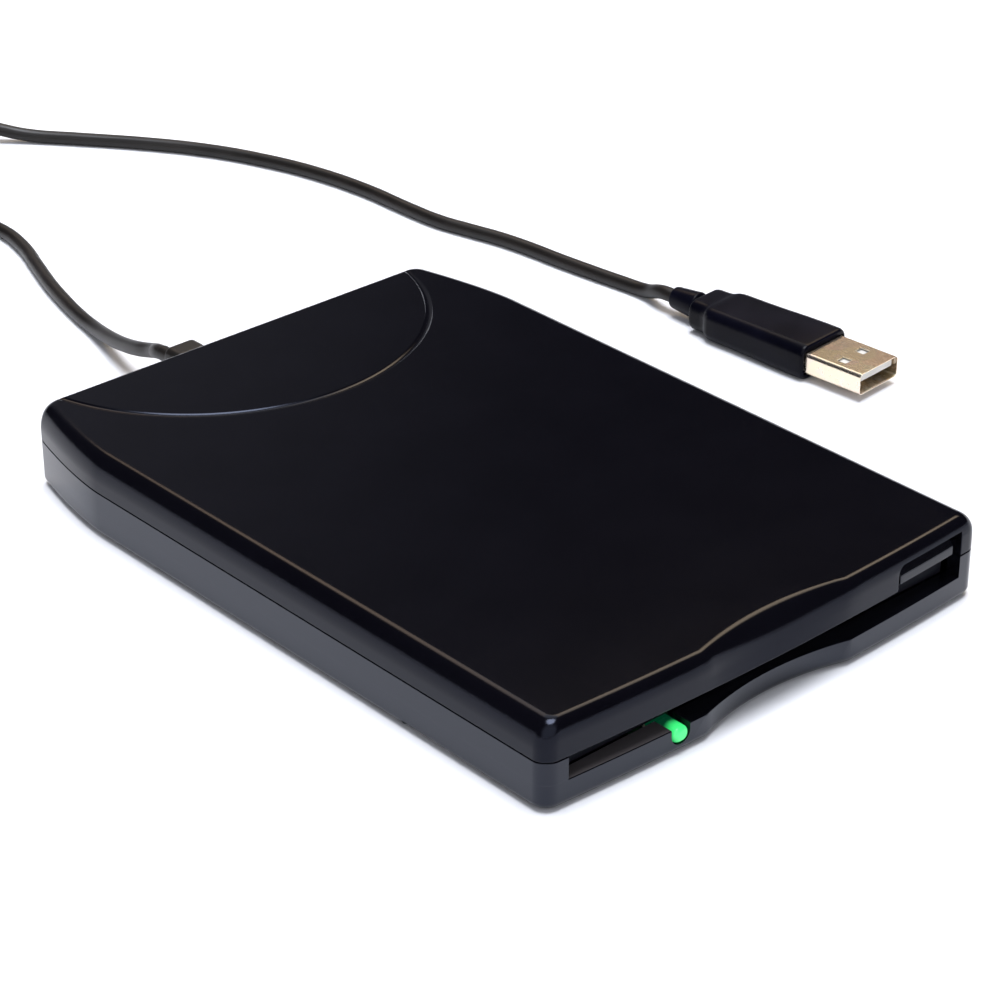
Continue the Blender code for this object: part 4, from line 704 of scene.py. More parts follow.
def pocket_cutter(lip):
    """The button's pocket, its mouth rounded over where it meets the bowed front."""

    def outline(room):
        left = slot_half - pocket_length - room
        top = split_high + pocket_height + room
        right = slot_half + room
        turn = pocket_corner + room
        low = split_high - overrun
        points = [(right, low), (right, top)]
        for i in range(1, 9):
            points.append((right + (left + turn - right) * i / 9, top))
        for angle in arc(10, 90.0, 180.0):
            points.append((left + turn * (1.0 + math.cos(angle)), top - turn * (1.0 - math.sin(angle))))
        points.append((left, low))
        return points

    rings = [facing(front_face - overrun, outline(lip))]
    for angle in arc(4):
        depth = lip * (1.0 - math.cos(angle))
        room = lip * (1.0 - math.sin(angle))
        rings.append([(x, front_face + bow(x) + depth, z) for x, z in outline(room)])
    rings.append(facing(cavity_front + overrun, outline(0.0)))
    return loft("pocket", rings)


def slot_cutter(lip, high):
    """The disk's slot, the front edge of its sill rounded over."""
    rings = []
    sections = 90
    for i in range(sections + 1):
        x = slot_half * (2 * i / sections - 1.0)
        face = front_face + bow(x) + hollow(x, scoop_top_depth)
        profile = [
            (cavity_front + overrun, slot_bottom),
            (cavity_front + overrun, high),
            (front_face - overrun, high),
            (front_face - overrun, slot_bottom - lip),
        ]
        for angle in arc(5):
            level = slot_bottom - lip * (1.0 - math.sin(angle))
            profile.append((face + lip * (1.0 - math.cos(angle)), level))
        rings.append([(x, y, z) for y, z in profile])
    return loft("slot", rings)


def groove_cutter():
    """The shallow arc pressed into the top, round in section."""
    half = groove_width / 2
    radius = (half**2 + groove_depth**2) / (2 * groove_depth)
    profile = [(groove_radius + half, case_top + overrun), (groove_radius - half, case_top + overrun)]
    reach = math.asin(half / radius)
    for i in range(15):
        angle = reach * (2 * i / 14 - 1.0)
        level = case_top - groove_depth + radius * (1.0 - math.cos(angle))
        profile.append((groove_radius + radius * math.sin(angle), level))
    return stacked("groove", groove_centre, profile, 360, closed=True)


def case_posts():
    return [(side * post_x, post_y) for side in (-1, 1)]


def chassis_posts():
    return [(side * post_x, y) for side in (-1, 1) for y in screw_y]


def foot_places():
    return [(side * foot_x, y) for side in (-1, 1) for y in foot_y]


def upper_shell(lip):
    levels = [split_high + lip * (1.0 - math.cos(angle)) for angle in arc(4)]
    tall = shoulder_height_share
    levels += [case_top - tall * side_shoulder * (1.0 - math.sin(angle)) for angle in arc(20)]
    radii = (side_shoulder, front_shoulder, rear_shoulder)
    rings = []
    for level in levels:
        depth = scoop_top_depth * (level - split_high) / (case_top - split_high)
        rings.append(shell_ring(level, case_top, radii, split_high, lip, depth, tall))
    made = loft("upper_shell", rings)
    cut(
        made,
        cavity_cutter(split_high - overrun, ceiling),
        joint_cutter(fit_gap, split_high - overrun, split_low + 1.3 * mm),
    )
    for side in (-1, 1):
        near = side * (slot_half - fit_gap)
        join(
            made,
            block(
                "door_bearing",
                sorted((near, near + side * mm)),
                (door_y - 0.6 * mm, door_y + 1.4 * mm),
                (door_level - 1.4 * mm, ceiling + fit_gap),
            ),
        )
    reach = slot_half + mm
    for place in case_posts():
        join(made, upright("post", place, post_radius, split_high, ceiling + fit_gap))
    cut(
        made,
        crosswise("bearing_hole", (door_y, door_level), door_bearing_radius, -reach, reach),
        relief_notch(),
        pocket_cutter(lip),
        groove_cutter(),
    )
    for place in case_posts():
        cut(made, upright("screw_hole", place, screw_hole_radius, split_high - overrun, 13.0 * mm))
    return smooth(made)


def lamp_outline(room, top):
    radius = lamp_width / 2 + room
    centre = slot_bottom - 0.1 * mm - lamp_height + lamp_width / 2
    outline = [(lamp_x + radius, top), (lamp_x - radius, top)]
    for angle in arc(16, 180.0, 360.0):
        outline.append((lamp_x + radius * math.cos(angle), centre + radius * math.sin(angle)))
    return outline


def lower_shell(lip):
    radii = (bottom_edge, bottom_edge, bottom_edge)
    levels = [case_bottom + bottom_edge * (1.0 - math.cos(angle)) for angle in arc(8)]
    levels += [slot_bottom, split_low - lip]
    levels += [split_low - lip * (1.0 - math.sin(angle)) for angle in arc(4)[1:]]
    rings = []
    for level in levels:
        share = max(0.0, (slot_bottom - level) / (slot_bottom - case_bottom))
        depth = scoop_top_depth + share * (scoop_low_depth - scoop_top_depth)
        rings.append(shell_ring(level, case_bottom, radii, split_low, lip, depth))
    made = loft("lower_shell", rings)
    join(made, joint_cutter(0.0, split_low - mm, split_low + mm))
    relief_front = front_face + edge_relief_start
    relief_rear = relief_front + edge_relief_length
    front_height, rear_height = edge_relief_heights
    cut(
        made,
        cavity_cutter(floor_top, case_top),
        slot_cutter(lip, case_top),
        relief_notch(),
        front_prism(
            "lamp_notch",
            lamp_outline(fit_gap, slot_bottom + overrun),
            front_face - overrun,
            cavity_front + overrun,
        ),
        side_prism(
            "edge_relief",
            [
                (relief_front, case_bottom - overrun),
                (relief_rear, case_bottom - overrun),
                (relief_rear, case_bottom + rear_height),
                (relief_front, case_bottom + front_height),
            ],
            -case_half - overrun,
            -case_half + edge_relief_depth,
        ),
    )
    for place in case_posts():
        join(made, upright("post", place, post_radius, floor_top - fit_gap, split_low))
    for place in chassis_posts():
        join(made, upright("boss", place, boss_radius, floor_top - fit_gap, floor_top + 0.7 * mm))
    for place, seat, top in (
        *[(place, 5.0 * mm, split_low + overrun) for place in case_posts()],
        *[(place, 1.5 * mm, 2.6 * mm) for place in chassis_posts()],
    ):
        cut(
            made,
            stacked(
                "recess",
                place,
                [
                    (screw_head_radius + 0.3 * mm, case_bottom - 0.3 * mm),
                    (screw_head_radius, case_bottom + 0.15 * mm),
                    (screw_head_radius, seat),
                ],
            ),
            upright("screw_hole", place, screw_hole_radius, case_bottom, top),
        )
    for place in foot_places():
        top = case_bottom + 0.6 * mm
        cut(made, upright("foot_recess", place, foot_recess_radius, case_bottom - overrun, top, 64))
    return smooth(made)


# Front fittings


def button():
    """Eject button with its skirt and stem: a face leaning back above its ridge, its edges softened."""
    low = split_high + 0.6 * mm
    ridge = low + 1.7 * mm
    top = low + 3.6 * mm
    length = 14.4 * mm
    right = slot_half - 1.5 * mm
    left = right - length
    rear = cavity_front - fit_gap
    rings = []
    for i in range(13):
        x = left + length * i / 12
        face = front_face + bow(x) + 0.6 * mm
        profile = [(face, low), (rear, low), (rear, top), (face + 1.6 * mm, top), (face, ridge)]
        rings.append([(x, y, z) for y, z in profile])
    made = loft("button_cap", rings)
    round_edges(made, 0.3 * mm, 3, 30.0)
    skirt = block(
        "skirt",
        (left + 0.5 * mm, right - 0.5 * mm),
        (rear - fit_gap, -62.6 * mm),
        (12.05 * mm, top - 0.5 * mm),
    )
    stem_low = 11.85 * mm
    stem = block("stem", (33.5 * mm, 40.5 * mm), (-67.6 * mm, -57.2 * mm), (stem_low, stem_low + 1.2 * mm))
    return smooth(join(made, skirt, stem), 50.0)


def lens():
    """The lamp's light guide, standing a little proud of the front, its face domed."""
    top = slot_bottom - 0.1 * mm
    front = front_face + bow(lamp_x) - 0.3 * mm
    centre = Vector((lamp_x, 0.0, top - lamp_height / 2))
    outline = [(x + centre.x, z + centre.z) for x, z in squared_ring(lamp_width, lamp_height, 1.38 * mm)]
    rings = []
    for angle in arc(8):
        size = 1.0 - 0.6 * (1.0 - math.sin(angle))
        y = front + 0.9 * mm * (1.0 - math.cos(angle))
        drawn_in = [(centre.x + size * (x - centre.x), centre.z + size * (z - centre.z)) for x, z in outline]
        rings.append(facing(y, drawn_in))
    rings.append(facing(cavity_front, outline))
    made = loft("lamp_light_guide", rings)
    half = lamp_width / 2
    low = top - lamp_height
    rear = front_face + bow(lamp_x) + 6.4 * mm
    join(
        made,
        block(
            "pipe",
            (lamp_x - half, lamp_x + half),
            (cavity_front - overrun, rear),
            (low + half / 2, low + 2.1 * mm),
        ),
    )
    return smooth(made, 50.0)


def door():
    """Dust door: a thin flap hung from a barrel and two pins, with a notch for its spring."""
    thickness = 0.8 * mm
    half = slot_half - 0.7 * mm
    front = door_y - door_barrel_radius
    low = slot_bottom - 0.3 * mm
    made = block("door_flap", (-half, half), (front, front + thickness), (low, door_level))
    left = -half + 1.2 * mm
    cut(
        made,
        block(
            "spring_notch",
            (left, left + 3.8 * mm),
            (front - overrun, front + 1.8 * mm),
            (door_level - 1.32 * mm, door_level + overrun),
        ),
    )
    round_edges(made, 0.12 * mm, 2)
    reach = slot_half + 1.1 * mm
    join(
        made,
        crosswise("barrel", (door_y, door_level), door_barrel_radius, -half, half),
        crosswise("pins", (door_y, door_level), door_pin_radius, -reach, reach),
    )
    return smooth(made, 40.0)


# Feet, strain relief, cord and plug


def foot(name, place):
    """A rubber foot, its rim rounded over where it stands."""
    top = case_bottom + 0.3 * mm
    rounding = 0.6 * mm
    face_radius = foot_radius - rounding
    steps = [(face_radius - 0.2 * mm, 0.0)]
    for angle in arc(5):
        steps.append((face_radius + rounding * math.sin(angle), 0.35 * mm * (1.0 - math.cos(angle))))
    steps.append((foot_radius, top))
    return smooth(stacked(name, place, steps, 64))


def squared_ring(width, height, corner, steps=8):
    """Outline of a rectangle about the origin, its corners rounded."""
    points = []
    for across, up, first in ((1, -1, -90.0), (1, 1, 0.0), (-1, 1, 90.0), (-1, -1, 180.0)):
        for angle in arc(steps, first, first + 90.0):
            x = across * (width / 2 - corner) + corner * math.cos(angle)
            points.append((x, up * (height / 2 - corner) + corner * math.sin(angle)))
    return points


def bar(name, sections, centre=(0.0, 0.0)):
    """A bar along Y through (y, width, height, corner) sections."""
    rings = []
    for y, width, height, corner in sections:
        ring = squared_ring(width, height, corner)
        rings.append([(x + centre[0], y, z + centre[1]) for x, z in ring])
    return loft(name, rings)


def softened(front, rear, width, height, corner, edge):
    """Sections of a bar whose two ends are rounded over."""
    sections = []
    for end, way, angles in ((front, 1, arc(4)), (rear, -1, arc(4, 90.0, 0.0))):
        for angle in angles:
            inset = edge * (1.0 - math.sin(angle))
            y = end + way * edge * (1.0 - math.cos(angle))
            sections.append((y, width - 2 * inset, height - 2 * inset, corner))
    return sections


def strain_relief():
    """Grommet in the rear wall, with a nose that tapers along the cord."""
    place = (relief_x, relief_level)
    front = rear_face + fit_gap
    grommet_length = 4.3 * mm
    rear = front + grommet_length
    made = bar("cord_grommet", softened(front, rear, 7.6 * mm, 8.4 * mm, 1.6 * mm, 0.6 * mm), place)
    inner = cavity_rear - fit_gap
    sections = []
    nose_length = 6.0 * mm
    tip_radius = 1.53
    flare = 0.6
    count = 24
    for i in range(count + 1):
        share = i / count
        y = rear - 0.6 * mm + share * nose_length
        radius = (tip_radius + flare * (1.0 - share) ** 2) * mm
        sections.append(facing(y, circle(radius, 32, place)))
    join(
        made,
        bar("neck", [(y, 5.2 * mm, 5.6 * mm, 0.4 * mm) for y in (inner - overrun, front + overrun)], place),
        bar("flange", softened(inner - 2.2 * mm, inner, 7.6 * mm, 6.4 * mm, 0.8 * mm, 0.3 * mm), place),
        loft("nose", sections),
    )
    return smooth(made, 40.0)


def plug_point(along, level):
    return Vector((
        plug_tip[0] - along * math.sin(plug_yaw),
        plug_tip[1] + along * math.cos(plug_yaw),
        level,
    ))


def coil_loops(per_turn):
    turn = math.tau * coil_turns
    count = round(per_turn * coil_turns)
    points = []
    for i in range(count + 1):
        angle = turn * i / count
        inward = min(angle, turn - angle) / math.tau
        radius = coil_radius - coil_spacing * inward
        climb = min(1.0, max(0.0, (angle - turn / 2) / math.pi + 0.5))
        x = coil_centre[0] - radius * math.cos(angle)
        y = coil_centre[1] + radius * math.sin(angle)
        points.append(Vector((x, y, cord_radius + coil_spacing * climb)))
    return points


def cord():
    """The whole cord as one smooth curve, from the strain relief by the coil to the plug."""
    loops = coil_loops(24)
    entry = loops[0] - Vector((0.0, 3.0 * mm, 0.0))
    last = math.tau * coil_turns
    leave = loops[-1] + 3.0 * mm * Vector((math.sin(last), math.cos(last), 0.0))
    collar_end = grip_length + 7.6 * mm
    points = [Vector(point) * mm for point in lead_route]
    points += [entry, *loops, leave]
    points += [Vector(point) * mm for point in tail_route]
    points += [plug_point(collar_end + 3.3 * mm, plug_level), plug_point(collar_end - 0.6 * mm, plug_level)]
    curve = wire_curve("cord", 6)
    curve.resolution_u = 6
    spline = curve.splines.new("BEZIER")
    spline.bezier_points.add(len(points) - 1)
    for knot, point in zip(spline.bezier_points, points):
        knot.co = point
        knot.radius = cord_radius
        knot.handle_left_type = knot.handle_right_type = "AUTO"
    return put("cord", curve)


def on_plug(made):
    """Turns a piece made along +Y from the grip's front into the plug's place."""
    turn = Matrix.Translation((plug_tip[0], plug_tip[1], 0.0)) @ Matrix.Rotation(plug_yaw, 4, "Z")
    made.data.transform(turn)
    return made


def plug_grip():
    """Moulded grip: a wide body with a slight waist, a narrower shoulder and a round collar."""
    stations = (
        (0.0, 13.2, 6.6),
        (0.25, 13.75, 7.2),
        (0.8, 14.0, 7.55),
        (4.0, 14.0, 7.6),
        (9.0, 13.8, 7.5),
        (14.0, 13.4, 7.35),
        (18.5, 13.2, 7.2),
        (22.0, 13.2, 7.15),
        (24.6, 13.1, 7.1),
        (25.6, 12.6, 7.0),
        (26.2, 11.6, 6.8),
        (26.8, 10.9, 6.65),
        (28.0, 10.6, 6.6),
        (30.0, 10.5, 6.55),
        (30.7, 10.1, 6.3),
        (31.0, 9.2, 5.6),
    )
    sections = [(y * mm, width * mm, height * mm, 2.2 * mm) for y, width, height in stations]
    made = bar("grip", sections, (0.0, plug_level))
    round_edges(made, 0.25 * mm, 3, 30.0)
    centre = (0.0, plug_level)
    neck = front_prism("neck", circle(2.0 * mm, 40, centre), 30.0 * mm, 32.5 * mm)
    rings = []
    collar = ((32.0, 2.5), (32.2, 2.8), (32.5, 2.9), (36.0, 2.55), (38.2, 2.32), (38.5, 2.2), (38.6, 2.0))
    for y, radius in collar:
        rings.append(facing(y * mm, circle(radius * mm, 40, centre)))
    join(made, neck, loft("collar", rings))
    seat = bar("seat", [(y, 12.6 * mm, 5.1 * mm, 0.9 * mm) for y in (-overrun, 2.0 * mm)], centre)
    cut(made, seat)
    return on_plug(smooth(made, 40.0))


def plug_shell():
    """Folded nickel shell with its latch windows, a seam below and a flared mouth."""
    centre = (0.0, plug_level)
    sections = [(y, shell_width, shell_height, 0.8 * mm) for y in (-shell_length, shell_seat)]
    made = bar("shell", sections, centre)
    mouth = (11.7 * mm, 4.2 * mm, 0.7 * mm)
    inside = (11.4 * mm, 3.9 * mm, 0.55 * mm)
    hollow_bar = bar(
        "hollow",
        [
            (-shell_length - overrun, *mouth),
            (-shell_length + 0.02 * mm, *mouth),
            (-shell_length + 0.3 * mm, *inside),
            (shell_seat + overrun, *inside),
        ],
        centre,
    )
    cut(made, hollow_bar)
    window_x = 2.8 * mm
    window_y = -7.2 * mm
    window_size = 2.3 * mm
    for side in (-1, 1):
        square = squared_ring(window_size, window_size, 0.25 * mm, 3)
        outline = [(x + side * window_x, y + window_y) for x, y in square]
        cut(made, prism("window", outline, -overrun, 9.0 * mm))
    along = (-shell_length - overrun, shell_seat + overrun)
    cut(made, block("seam", (-0.06 * mm, 0.06 * mm), along, (1.0 * mm, 1.72 * mm)))
    round_edges(made, 0.07 * mm, 2, 50.0)
    return on_plug(smooth(made, 40.0))


def plug_tongue():
    """The nylon tongue that carries the contacts, near the roof of the shell."""
    thickness = 1.7 * mm
    low = 5.45 * mm - thickness
    made = bar(
        "tongue",
        softened(0.9 * mm - shell_length, shell_seat, 10.7 * mm, thickness, 0.2 * mm, 0.2 * mm),
        (0.0, low + thickness / 2),
    )
    return on_plug(smooth(made, 40.0))


def plug_contacts():
    """Four gilt blades along the underside of the tongue."""
    low = 3.69 * mm
    bars = []
    for x, reach in ((-3.5, 11.6), (-1.0, 10.8), (1.0, 10.8), (3.5, 11.6)):
        across = ((x - 0.5) * mm, (x + 0.5) * mm)
        bars.append(block("blade", across, (-reach * mm, 1.5 * mm), (low, low + 0.12 * mm)))
    made = bars[0]
    join(made, *bars[1:])
    made.name = "plug_blades"
    round_edges(made, 0.04 * mm, 2)
    return on_plug(smooth(made, 40.0))


# Mechanism


def screw_thread():
    """The lead screw with its cut thread between two plain journals."""
    rings = []
    journal = 0.8 * mm
    crest = 1.2
    thread_depth = 0.35
    front, rear = 30.6 * mm, 49.5 * mm
    steps = 24
    per_turn = 24
    pitch = 3.75 * mm
    count = round((rear - front) / pitch * per_turn)
    centre = (24.0 * mm, 8.2 * mm)
    for y in (29.4 * mm, front - 0.01 * mm):
        rings.append(facing(y, circle(journal, steps, centre)))
    for i in range(count + 1):
        y = front + (rear - front) * i / count
        ring = []
        for k in range(steps):
            angle = math.tau * k / steps
            turn = (y / pitch * math.tau - angle) % math.tau
            groove = max(0.0, 1.0 - abs(turn - math.pi) / 0.9)
            radius = (crest - thread_depth * min(1.0, 2.0 * groove)) * mm
            ring.append((centre[0] + radius * math.cos(angle), y, centre[1] + radius * math.sin(angle)))
        rings.append(ring)
    for y in (rear + 0.01 * mm, rear + 3.0 * mm):
        rings.append(facing(y, circle(journal, steps, centre)))
    return smooth(loft("threaded_screw", rings), 50.0)


def windings(tooth):
    """Copper wire wound about one tooth of the stator."""
    angle = math.tau * tooth / 12
    spindle_y = -16.0 * mm
    turn = Matrix.Translation((0.0, spindle_y, 0.0)) @ Matrix.Rotation(angle, 4, "Z")
    wire = 0.2 * mm
    points = []
    for i in range(9):
        reach = 9.2 * mm + i * 0.85 * mm
        for x, y, z in ((0.0, -1.8, 0.42), (0.2, 1.8, 0.42), (0.4, 1.8, -0.42), (0.6, -1.8, -0.42)):
            points.append(turn @ Vector((reach + x * mm, y * mm, 2.85 * mm + z * mm)))
    curve = wire_curve("winding", 1)
    spline = curve.splines.new("POLY")
    spline.points.add(len(points) - 1)
    for slot, point in zip(spline.points, points):
        slot.co = (*point, 1.0)
        slot.radius = wire
    return put(f"winding_{tooth + 1}", curve)


# Studio


def floor_sheet(radius):
    """A pale table top that turns up at a distant rim."""
    bm = bmesh.new()
    rows = [(0.0, 0.0)]
    rows += [(radius * share, 0.0) for share in (0.1, 0.3, 0.5, 0.7, 0.85)]
    for angle in arc(8):
        rows.append((radius * (0.85 + 0.15 * math.sin(angle)), radius * 0.15 * (1.0 - math.cos(angle))))
    middle = bm.verts.new((0.0, 0.0, 0.0))
    laid = []
    for row, z in rows[1:]:
        laid.append([bm.verts.new((x, y, z)) for x, y in circle(row, 96)])
    for i in range(96):
        j = (i + 1) % 96
        bm.faces.new((middle, laid[0][i], laid[0][j]))
        for low, high in zip(laid, laid[1:]):
            bm.faces.new((low[j], low[i], high[i], high[j]))
    mesh = bpy.data.meshes.new("table_top")
    bm.to_mesh(mesh)
    bm.free()
    made = put("table_top", mesh)
    made.data.shade_smooth()
    return made


def table_finish():
    made = Finish(bpy.data.materials.new("table"))
    place = made.place()
    mottle = made.noise(place, 40.0, 3.0)
    return made.set(
        Base_Color=made.blend(mottle, (0.80, 0.80, 0.81), (0.82, 0.82, 0.83)),
        Roughness=0.95,
        Specular_IOR_Level=0.0,
    )


def studio_light(strength, low, high):
    """A lamp overhead in a dim ring, a fill beside the camera, a partly warm strip behind, and dim walls.

    The ring begins at the low height and the lamp at the high one, both as shares of straight up.
    """
    world = bpy.data.worlds.new("studio")
    bpy.context.scene.world = world
    made = Finish(world, "Background")
    way = made.add("ShaderNodeTexCoord", {}, {}, "Generated")
    height = made.along(way, "Z")

    def towards(*direction):
        aim = Vector(direction).normalized()
        return made.add("ShaderNodeVectorMath", {"operation": "DOT_PRODUCT"}, {0: way, 1: aim}, "Value")

    walls = made.blend(towards(0.317, 0.871, 0.375).step(0.92, 1.0), (0.02, 0.02, 0.03), (0.26, 0.26, 0.29))
    strip = height.step(0.60, 0.63) * towards(0.52, 0.50, 0.68).step(0.88, 0.94)
    tone = made.blend(made.along(way, "X").step(0.50, 0.58), (1.6, 1.65, 1.75), shade((1.0, 0.77, 0.5), 6.5))
    tone = made.blend(made.along(way, "Y").step(0.60, 0.64), tone, shade((1.0, 0.72, 0.48), 4.0))
    lit = made.blend(strip, walls, tone)
    fill = towards(-0.6, -0.67, 0.5).step(0.6, 0.9)
    cool = (0.95, 0.98, 1.06)
    lit = made.blend(fill, lit, shade(cool, 0.08 * strength))
    lit = made.blend(height.step(low, low + 0.06), lit, shade(cool, 0.04 * strength))
    return made.set(Color=made.blend(height.step(high, high + 0.03), lit, shade(cool, strength)))


def photo_camera(lens_length, place, azimuth, elevation):
    data = bpy.data.cameras.new("camera")
    data.lens = lens_length
    data.sensor_width = 36.0
    data.clip_start = 0.01
    made = put("camera", data)
    made.location = place
    back = Vector((
        math.sin(azimuth) * math.cos(elevation),
        -math.cos(azimuth) * math.cos(elevation),
        math.sin(elevation),
    ))
    made.rotation_euler = back.to_track_quat("Z", "Y").to_euler()
    bpy.context.scene.camera = made
    return made


# Properties


class DriveCase(bpy.types.PropertyGroup):
    """Shells of the case."""

    lip: FloatProperty(
        name="Edge rounding",
        description="Radius of the shells' edges at the parting line, the slot and the pocket",
        default=0.2 * mm,
        min=0.05 * mm,
        max=0.4 * mm,
        unit="LENGTH",
    )
    colour: FloatVectorProperty(
        name="Plastic",
        description="Colour of the moulded shells",
        default=(0.002, 0.0019, 0.0031),
        subtype="COLOR",
    )
    roughness: FloatProperty(
        name="Roughness",
        description="Roughness of the moulded shells",
        default=0.115,
        subtype="FACTOR",
    )
    lamp: FloatVectorProperty(
        name="Lamp",
        description="Colour of the lit lamp",
        default=(0.045, 0.88, 0.2),
        subtype="COLOR",
    )
    lamp_strength: FloatProperty(
        name="Lamp strength",
        description="How brightly the lamp shines",
        default=1.0,
        min=0.0,
    )


class DriveCord(bpy.types.PropertyGroup):
    """Cord and plug."""

    colour: FloatVectorProperty(
        name="Vinyl",
        description="Colour of the cord's jacket",
        default=(0.0075, 0.006, 0.005),
        subtype="COLOR",
    )
    roughness: FloatProperty(
        name="Roughness",
        description="Roughness of the cord's jacket",
        default=0.4,
        subtype="FACTOR",
    )
    shell: FloatVectorProperty(
        name="Shell plating",
        description="Colour of the plug's metal shell",
        default=(0.95, 0.82, 0.65),
        subtype="COLOR",
    )


class DriveStage(bpy.types.PropertyGroup):
    """Camera, table and light."""

    lens: FloatProperty(
        name="Lens",
        description="Focal length on a 36 mm sensor, in millimetres",
        default=110.005,
    )
    place: FloatVectorProperty(
        name="Camera place",
        description="Where the camera stands",
        default=(-0.3154, -0.35345, 0.27165),
        subtype="TRANSLATION",
        unit="LENGTH",
    )
    azimuth: FloatProperty(
        name="Azimuth",
        description="Angle of the camera about the vertical",
        default=math.radians(-42.015),
        unit="ROTATION",
    )
    elevation: FloatProperty(
        name="Elevation",
        description="Angle of the camera above the table",
        default=math.radians(29.056),
        unit="ROTATION",
    )
    strength: FloatProperty(
        name="Light",
        description="Radiance of the lamp overhead",
        default=16.0,
        min=0.0,
    )
    radius: FloatProperty(
        name="Table radius",
        description="Radius of the table top",
        default=4.0,
        unit="LENGTH",
    )


# Operators


class DRIVE_OT_stage(bpy.types.Operator):
    """Sets up the camera, the table and the light."""

    bl_idname = "drive.stage"
    bl_label = "Studio"

    def execute(self, context):
        looks = context.scene.drive_stage
        photo_camera(looks.lens, looks.place, looks.azimuth, looks.elevation)
        table = floor_sheet(looks.radius)
        table.data.materials.append(table_finish())
        studio_light(looks.strength, low=0.88, high=0.945)
        context.scene.view_settings.view_transform = "Standard"
        context.scene.view_settings.look = "None"
        return {"FINISHED"}


class DRIVE_OT_cord(bpy.types.Operator):
    """Lays the cord and dresses its strain relief and its plug."""

    bl_idname = "drive.cord"
    bl_label = "Cord and plug"

    def execute(self, context):
        looks = context.scene.drive_cord
        vinyl = soft_vinyl("cord_vinyl", tuple(looks.colour), looks.roughness, 0.3)
        grip_vinyl = soft_vinyl("grip_vinyl", (0.002, 0.002, 0.005), 0.3, 0.08)
        grip = stand_in(plug_grip(), "plug_grip", grip_vinyl)
        plating = sheet_metal("nickel_plating", tuple(looks.shell), 0.27, (9000.0, 700.0, 700.0), 0.2)
        shell = stand_in(plug_shell(), "plug_shell", plating)
        nylon = moulded("tongue_nylon", (0.62, 0.6, 0.55), 0.5)
        tongue = stand_in(plug_tongue(), "plug_tongue", nylon)
        gilt = turned_metal("gilt", (0.85, 0.62, 0.28), 0.28)
        blades = extra(plug_contacts(), "case", gilt)
        relief = stand_in(strain_relief(), "strain_relief", vinyl)
        laid = stand_in(cord(), "cord_lead", vinyl, "cord_coil", "cord_tail")
        return {"FINISHED"}


class DRIVE_OT_shells(bpy.types.Operator):
    """Makes the two shells of the case and its rubber feet."""

    bl_idname = "drive.shells"
    bl_label = "Case shells"

    def execute(self, context):
        looks = context.scene.drive_case
        colour = tuple(looks.colour)
        glossy = (looks.roughness, 1.56)
        plastic = moulded("case_plastic", colour, *glossy, sheen=0.165, tint=(0.66, 0.74, 1.0))
        stand_in(upper_shell(looks.lip), "top_cover", plastic)
        ledge_look = {"ledge_level": slot_bottom, "sheen": 0.38, "tint": (0.74, 0.81, 1.0)}
        stand_in(lower_shell(looks.lip), "bottom_case", moulded("sill_plastic", colour, *glossy, **ledge_look))
        rubber = soft_vinyl("foot_rubber", (0.014, 0.014, 0.014), 0.75)
        names = ("foot_front_left", "foot_rear_left", "foot_front_right", "foot_rear_right")
        for name, place in zip(names, foot_places()):
            stand_in(foot(f"{name}_pad", place), name, rubber)
        return {"FINISHED"}


class DRIVE_OT_front(bpy.types.Operator):
    """Makes the eject button, the lamp's light guide and the dust door."""

    bl_idname = "drive.front"
    bl_label = "Front fittings"

    def execute(self, context):
        looks = context.scene.drive_case
        plastic = moulded("button_plastic", (0.004, 0.004, 0.006), 0.2, sheen=0.32)
        stand_in(button(), "eject_button", plastic)
        middle = (lamp_x, front_face + 0.7 * mm, slot_bottom - 0.9 * mm)
        glow = lit_lens("lamp_glow", tuple(looks.lamp), (0.0, 0.03, 0.012), middle, looks.lamp_strength)
        stand_in(lens(), "lamp_lens", glow)
        dull = moulded("door_plastic", (0.006, 0.006, 0.010), 0.5)
        stand_in(door(), "dust_door", dull)
        return {"FINISHED"}


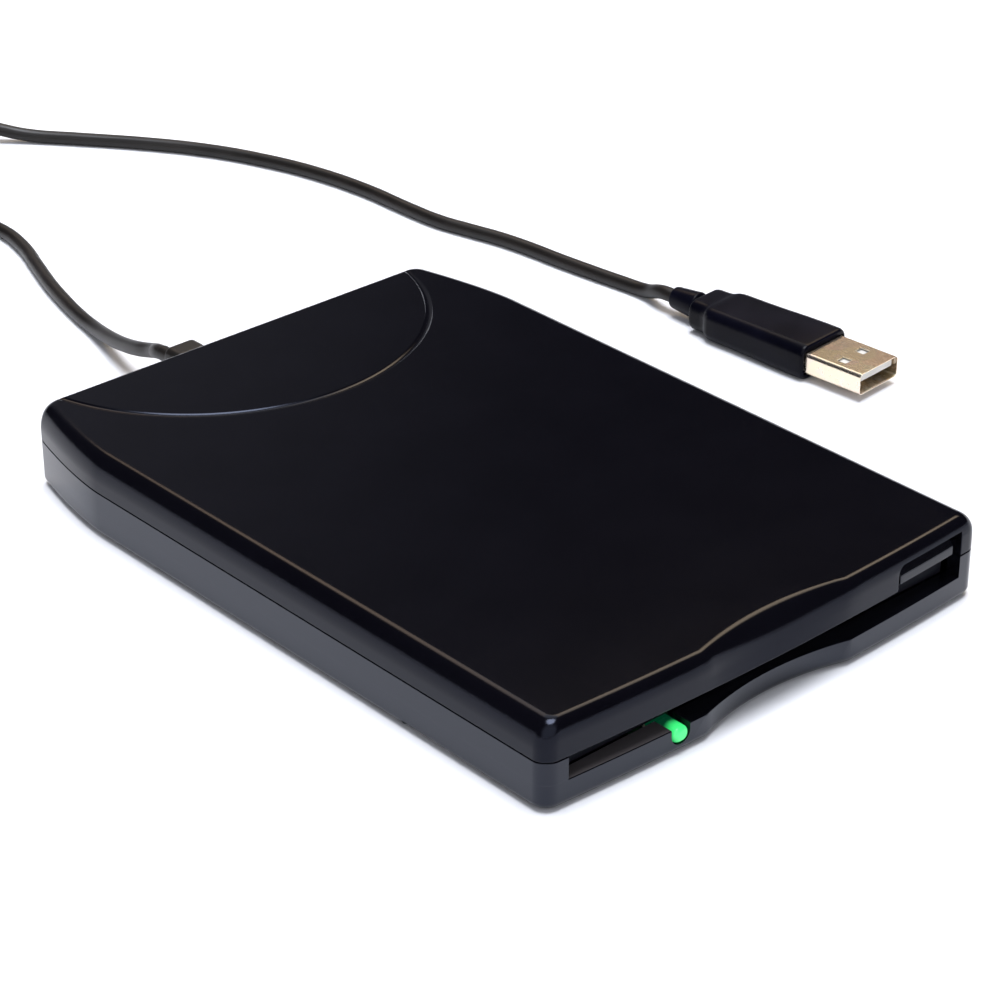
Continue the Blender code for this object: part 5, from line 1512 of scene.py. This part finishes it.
class DRIVE_OT_mechanism(bpy.types.Operator):
    """Adds the thread and the windings, and gives every piece of the mechanism its finish."""

    bl_idname = "drive.mechanism"
    bl_label = "Mechanism"

    def execute(self, context):
        zinc = sheet_metal("zinc_sheet", (0.62, 0.62, 0.6), 0.32)
        bright = turned_metal("bright_steel", (0.6, 0.6, 0.59), 0.22)
        stand_in(screw_thread(), "lead_screw", bright)
        copper = turned_metal("copper_wire", (0.75, 0.33, 0.16), 0.3)
        for tooth in range(12):
            extra(windings(tooth), "case", copper)
        finishes = {
            zinc: (
                "chassis",
                "chassis_lid",
                "disk_carrier",
                "slider_plate",
                "shutter_lever",
                "spindle_rotor",
            ),
            bright: ("guide_rod", "spindle_shaft", "arm_pin", "door_spring", "slider_spring", "chuck_disc"),
            turned_metal("screw_zinc", (0.55, 0.54, 0.52), 0.3): (
                "case_screw_left",
                "case_screw_right",
                "chassis_screw_front_left",
                "chassis_screw_rear_left",
                "chassis_screw_front_right",
                "chassis_screw_rear_right",
                "stepper_motor",
            ),
            turned_metal("brass", (0.75, 0.55, 0.25), 0.26): ("spindle_bearing", "drive_pin"),
            sintered("ferrite", (0.03, 0.028, 0.028), 0.55): ("rotor_magnet", "lower_head", "upper_head"),
            sheet_metal("lamination", (0.3, 0.3, 0.32), 0.45): ("stator",),
            circuit_board("solder_mask", (0.004, 0.07, 0.025), (0.02, 0.19, 0.06)): (
                "drive_board",
                "usb_board",
            ),
            moulded("glass_filled", (0.02, 0.02, 0.022), 0.5, 1.5, 2.0): (
                "head_carriage",
                "upper_arm",
                "usb_controller",
            ),
            moulded("natural_nylon", (0.66, 0.63, 0.55), 0.45): ("led", "ffc_connector", "cord_socket"),
            flat_cable("ribbon_film", (0.5, 0.27, 0.08), (0.6, 0.42, 0.25)): ("ribbon_cable",),
            soft_vinyl("lead_vinyl", (0.012, 0.012, 0.014), 0.5): ("inner_lead",),
        }
        for finish, nodes in finishes.items():
            for node in nodes:
                dress(frame["nodes"][node], finish)
        return {"FINISHED"}


steps = (DRIVE_OT_stage, DRIVE_OT_cord, DRIVE_OT_shells, DRIVE_OT_front, DRIVE_OT_mechanism)


class DRIVE_PT_panel(bpy.types.Panel):
    """Lists the sizes and finishes, and the steps that make the drive."""

    bl_idname = "DRIVE_PT_panel"
    bl_label = "Floppy disk drive"
    bl_space_type = "VIEW_3D"
    bl_region_type = "UI"
    bl_category = "Drive"

    def draw(self, context):
        for step in steps:
            self.layout.operator(step.bl_idname)
        for looks in (context.scene.drive_stage, context.scene.drive_cord, context.scene.drive_case):
            for name in type(looks).__annotations__:
                self.layout.prop(looks, name)


classes = (DriveCase, DriveCord, DriveStage, *steps, DRIVE_PT_panel)


def register():
    for each in classes:
        bpy.utils.register_class(each)
    bpy.types.Scene.drive_case = PointerProperty(type=DriveCase)
    bpy.types.Scene.drive_cord = PointerProperty(type=DriveCord)
    bpy.types.Scene.drive_stage = PointerProperty(type=DriveStage)


def unregister():
    del bpy.types.Scene.drive_stage
    del bpy.types.Scene.drive_cord
    del bpy.types.Scene.drive_case
    for each in reversed(classes):
        bpy.utils.unregister_class(each)


def main():
    register()
    for step in steps:
        group, name = step.bl_idname.split(".")
        getattr(getattr(bpy.ops, group), name)()


if __name__ == "__main__":
    main()
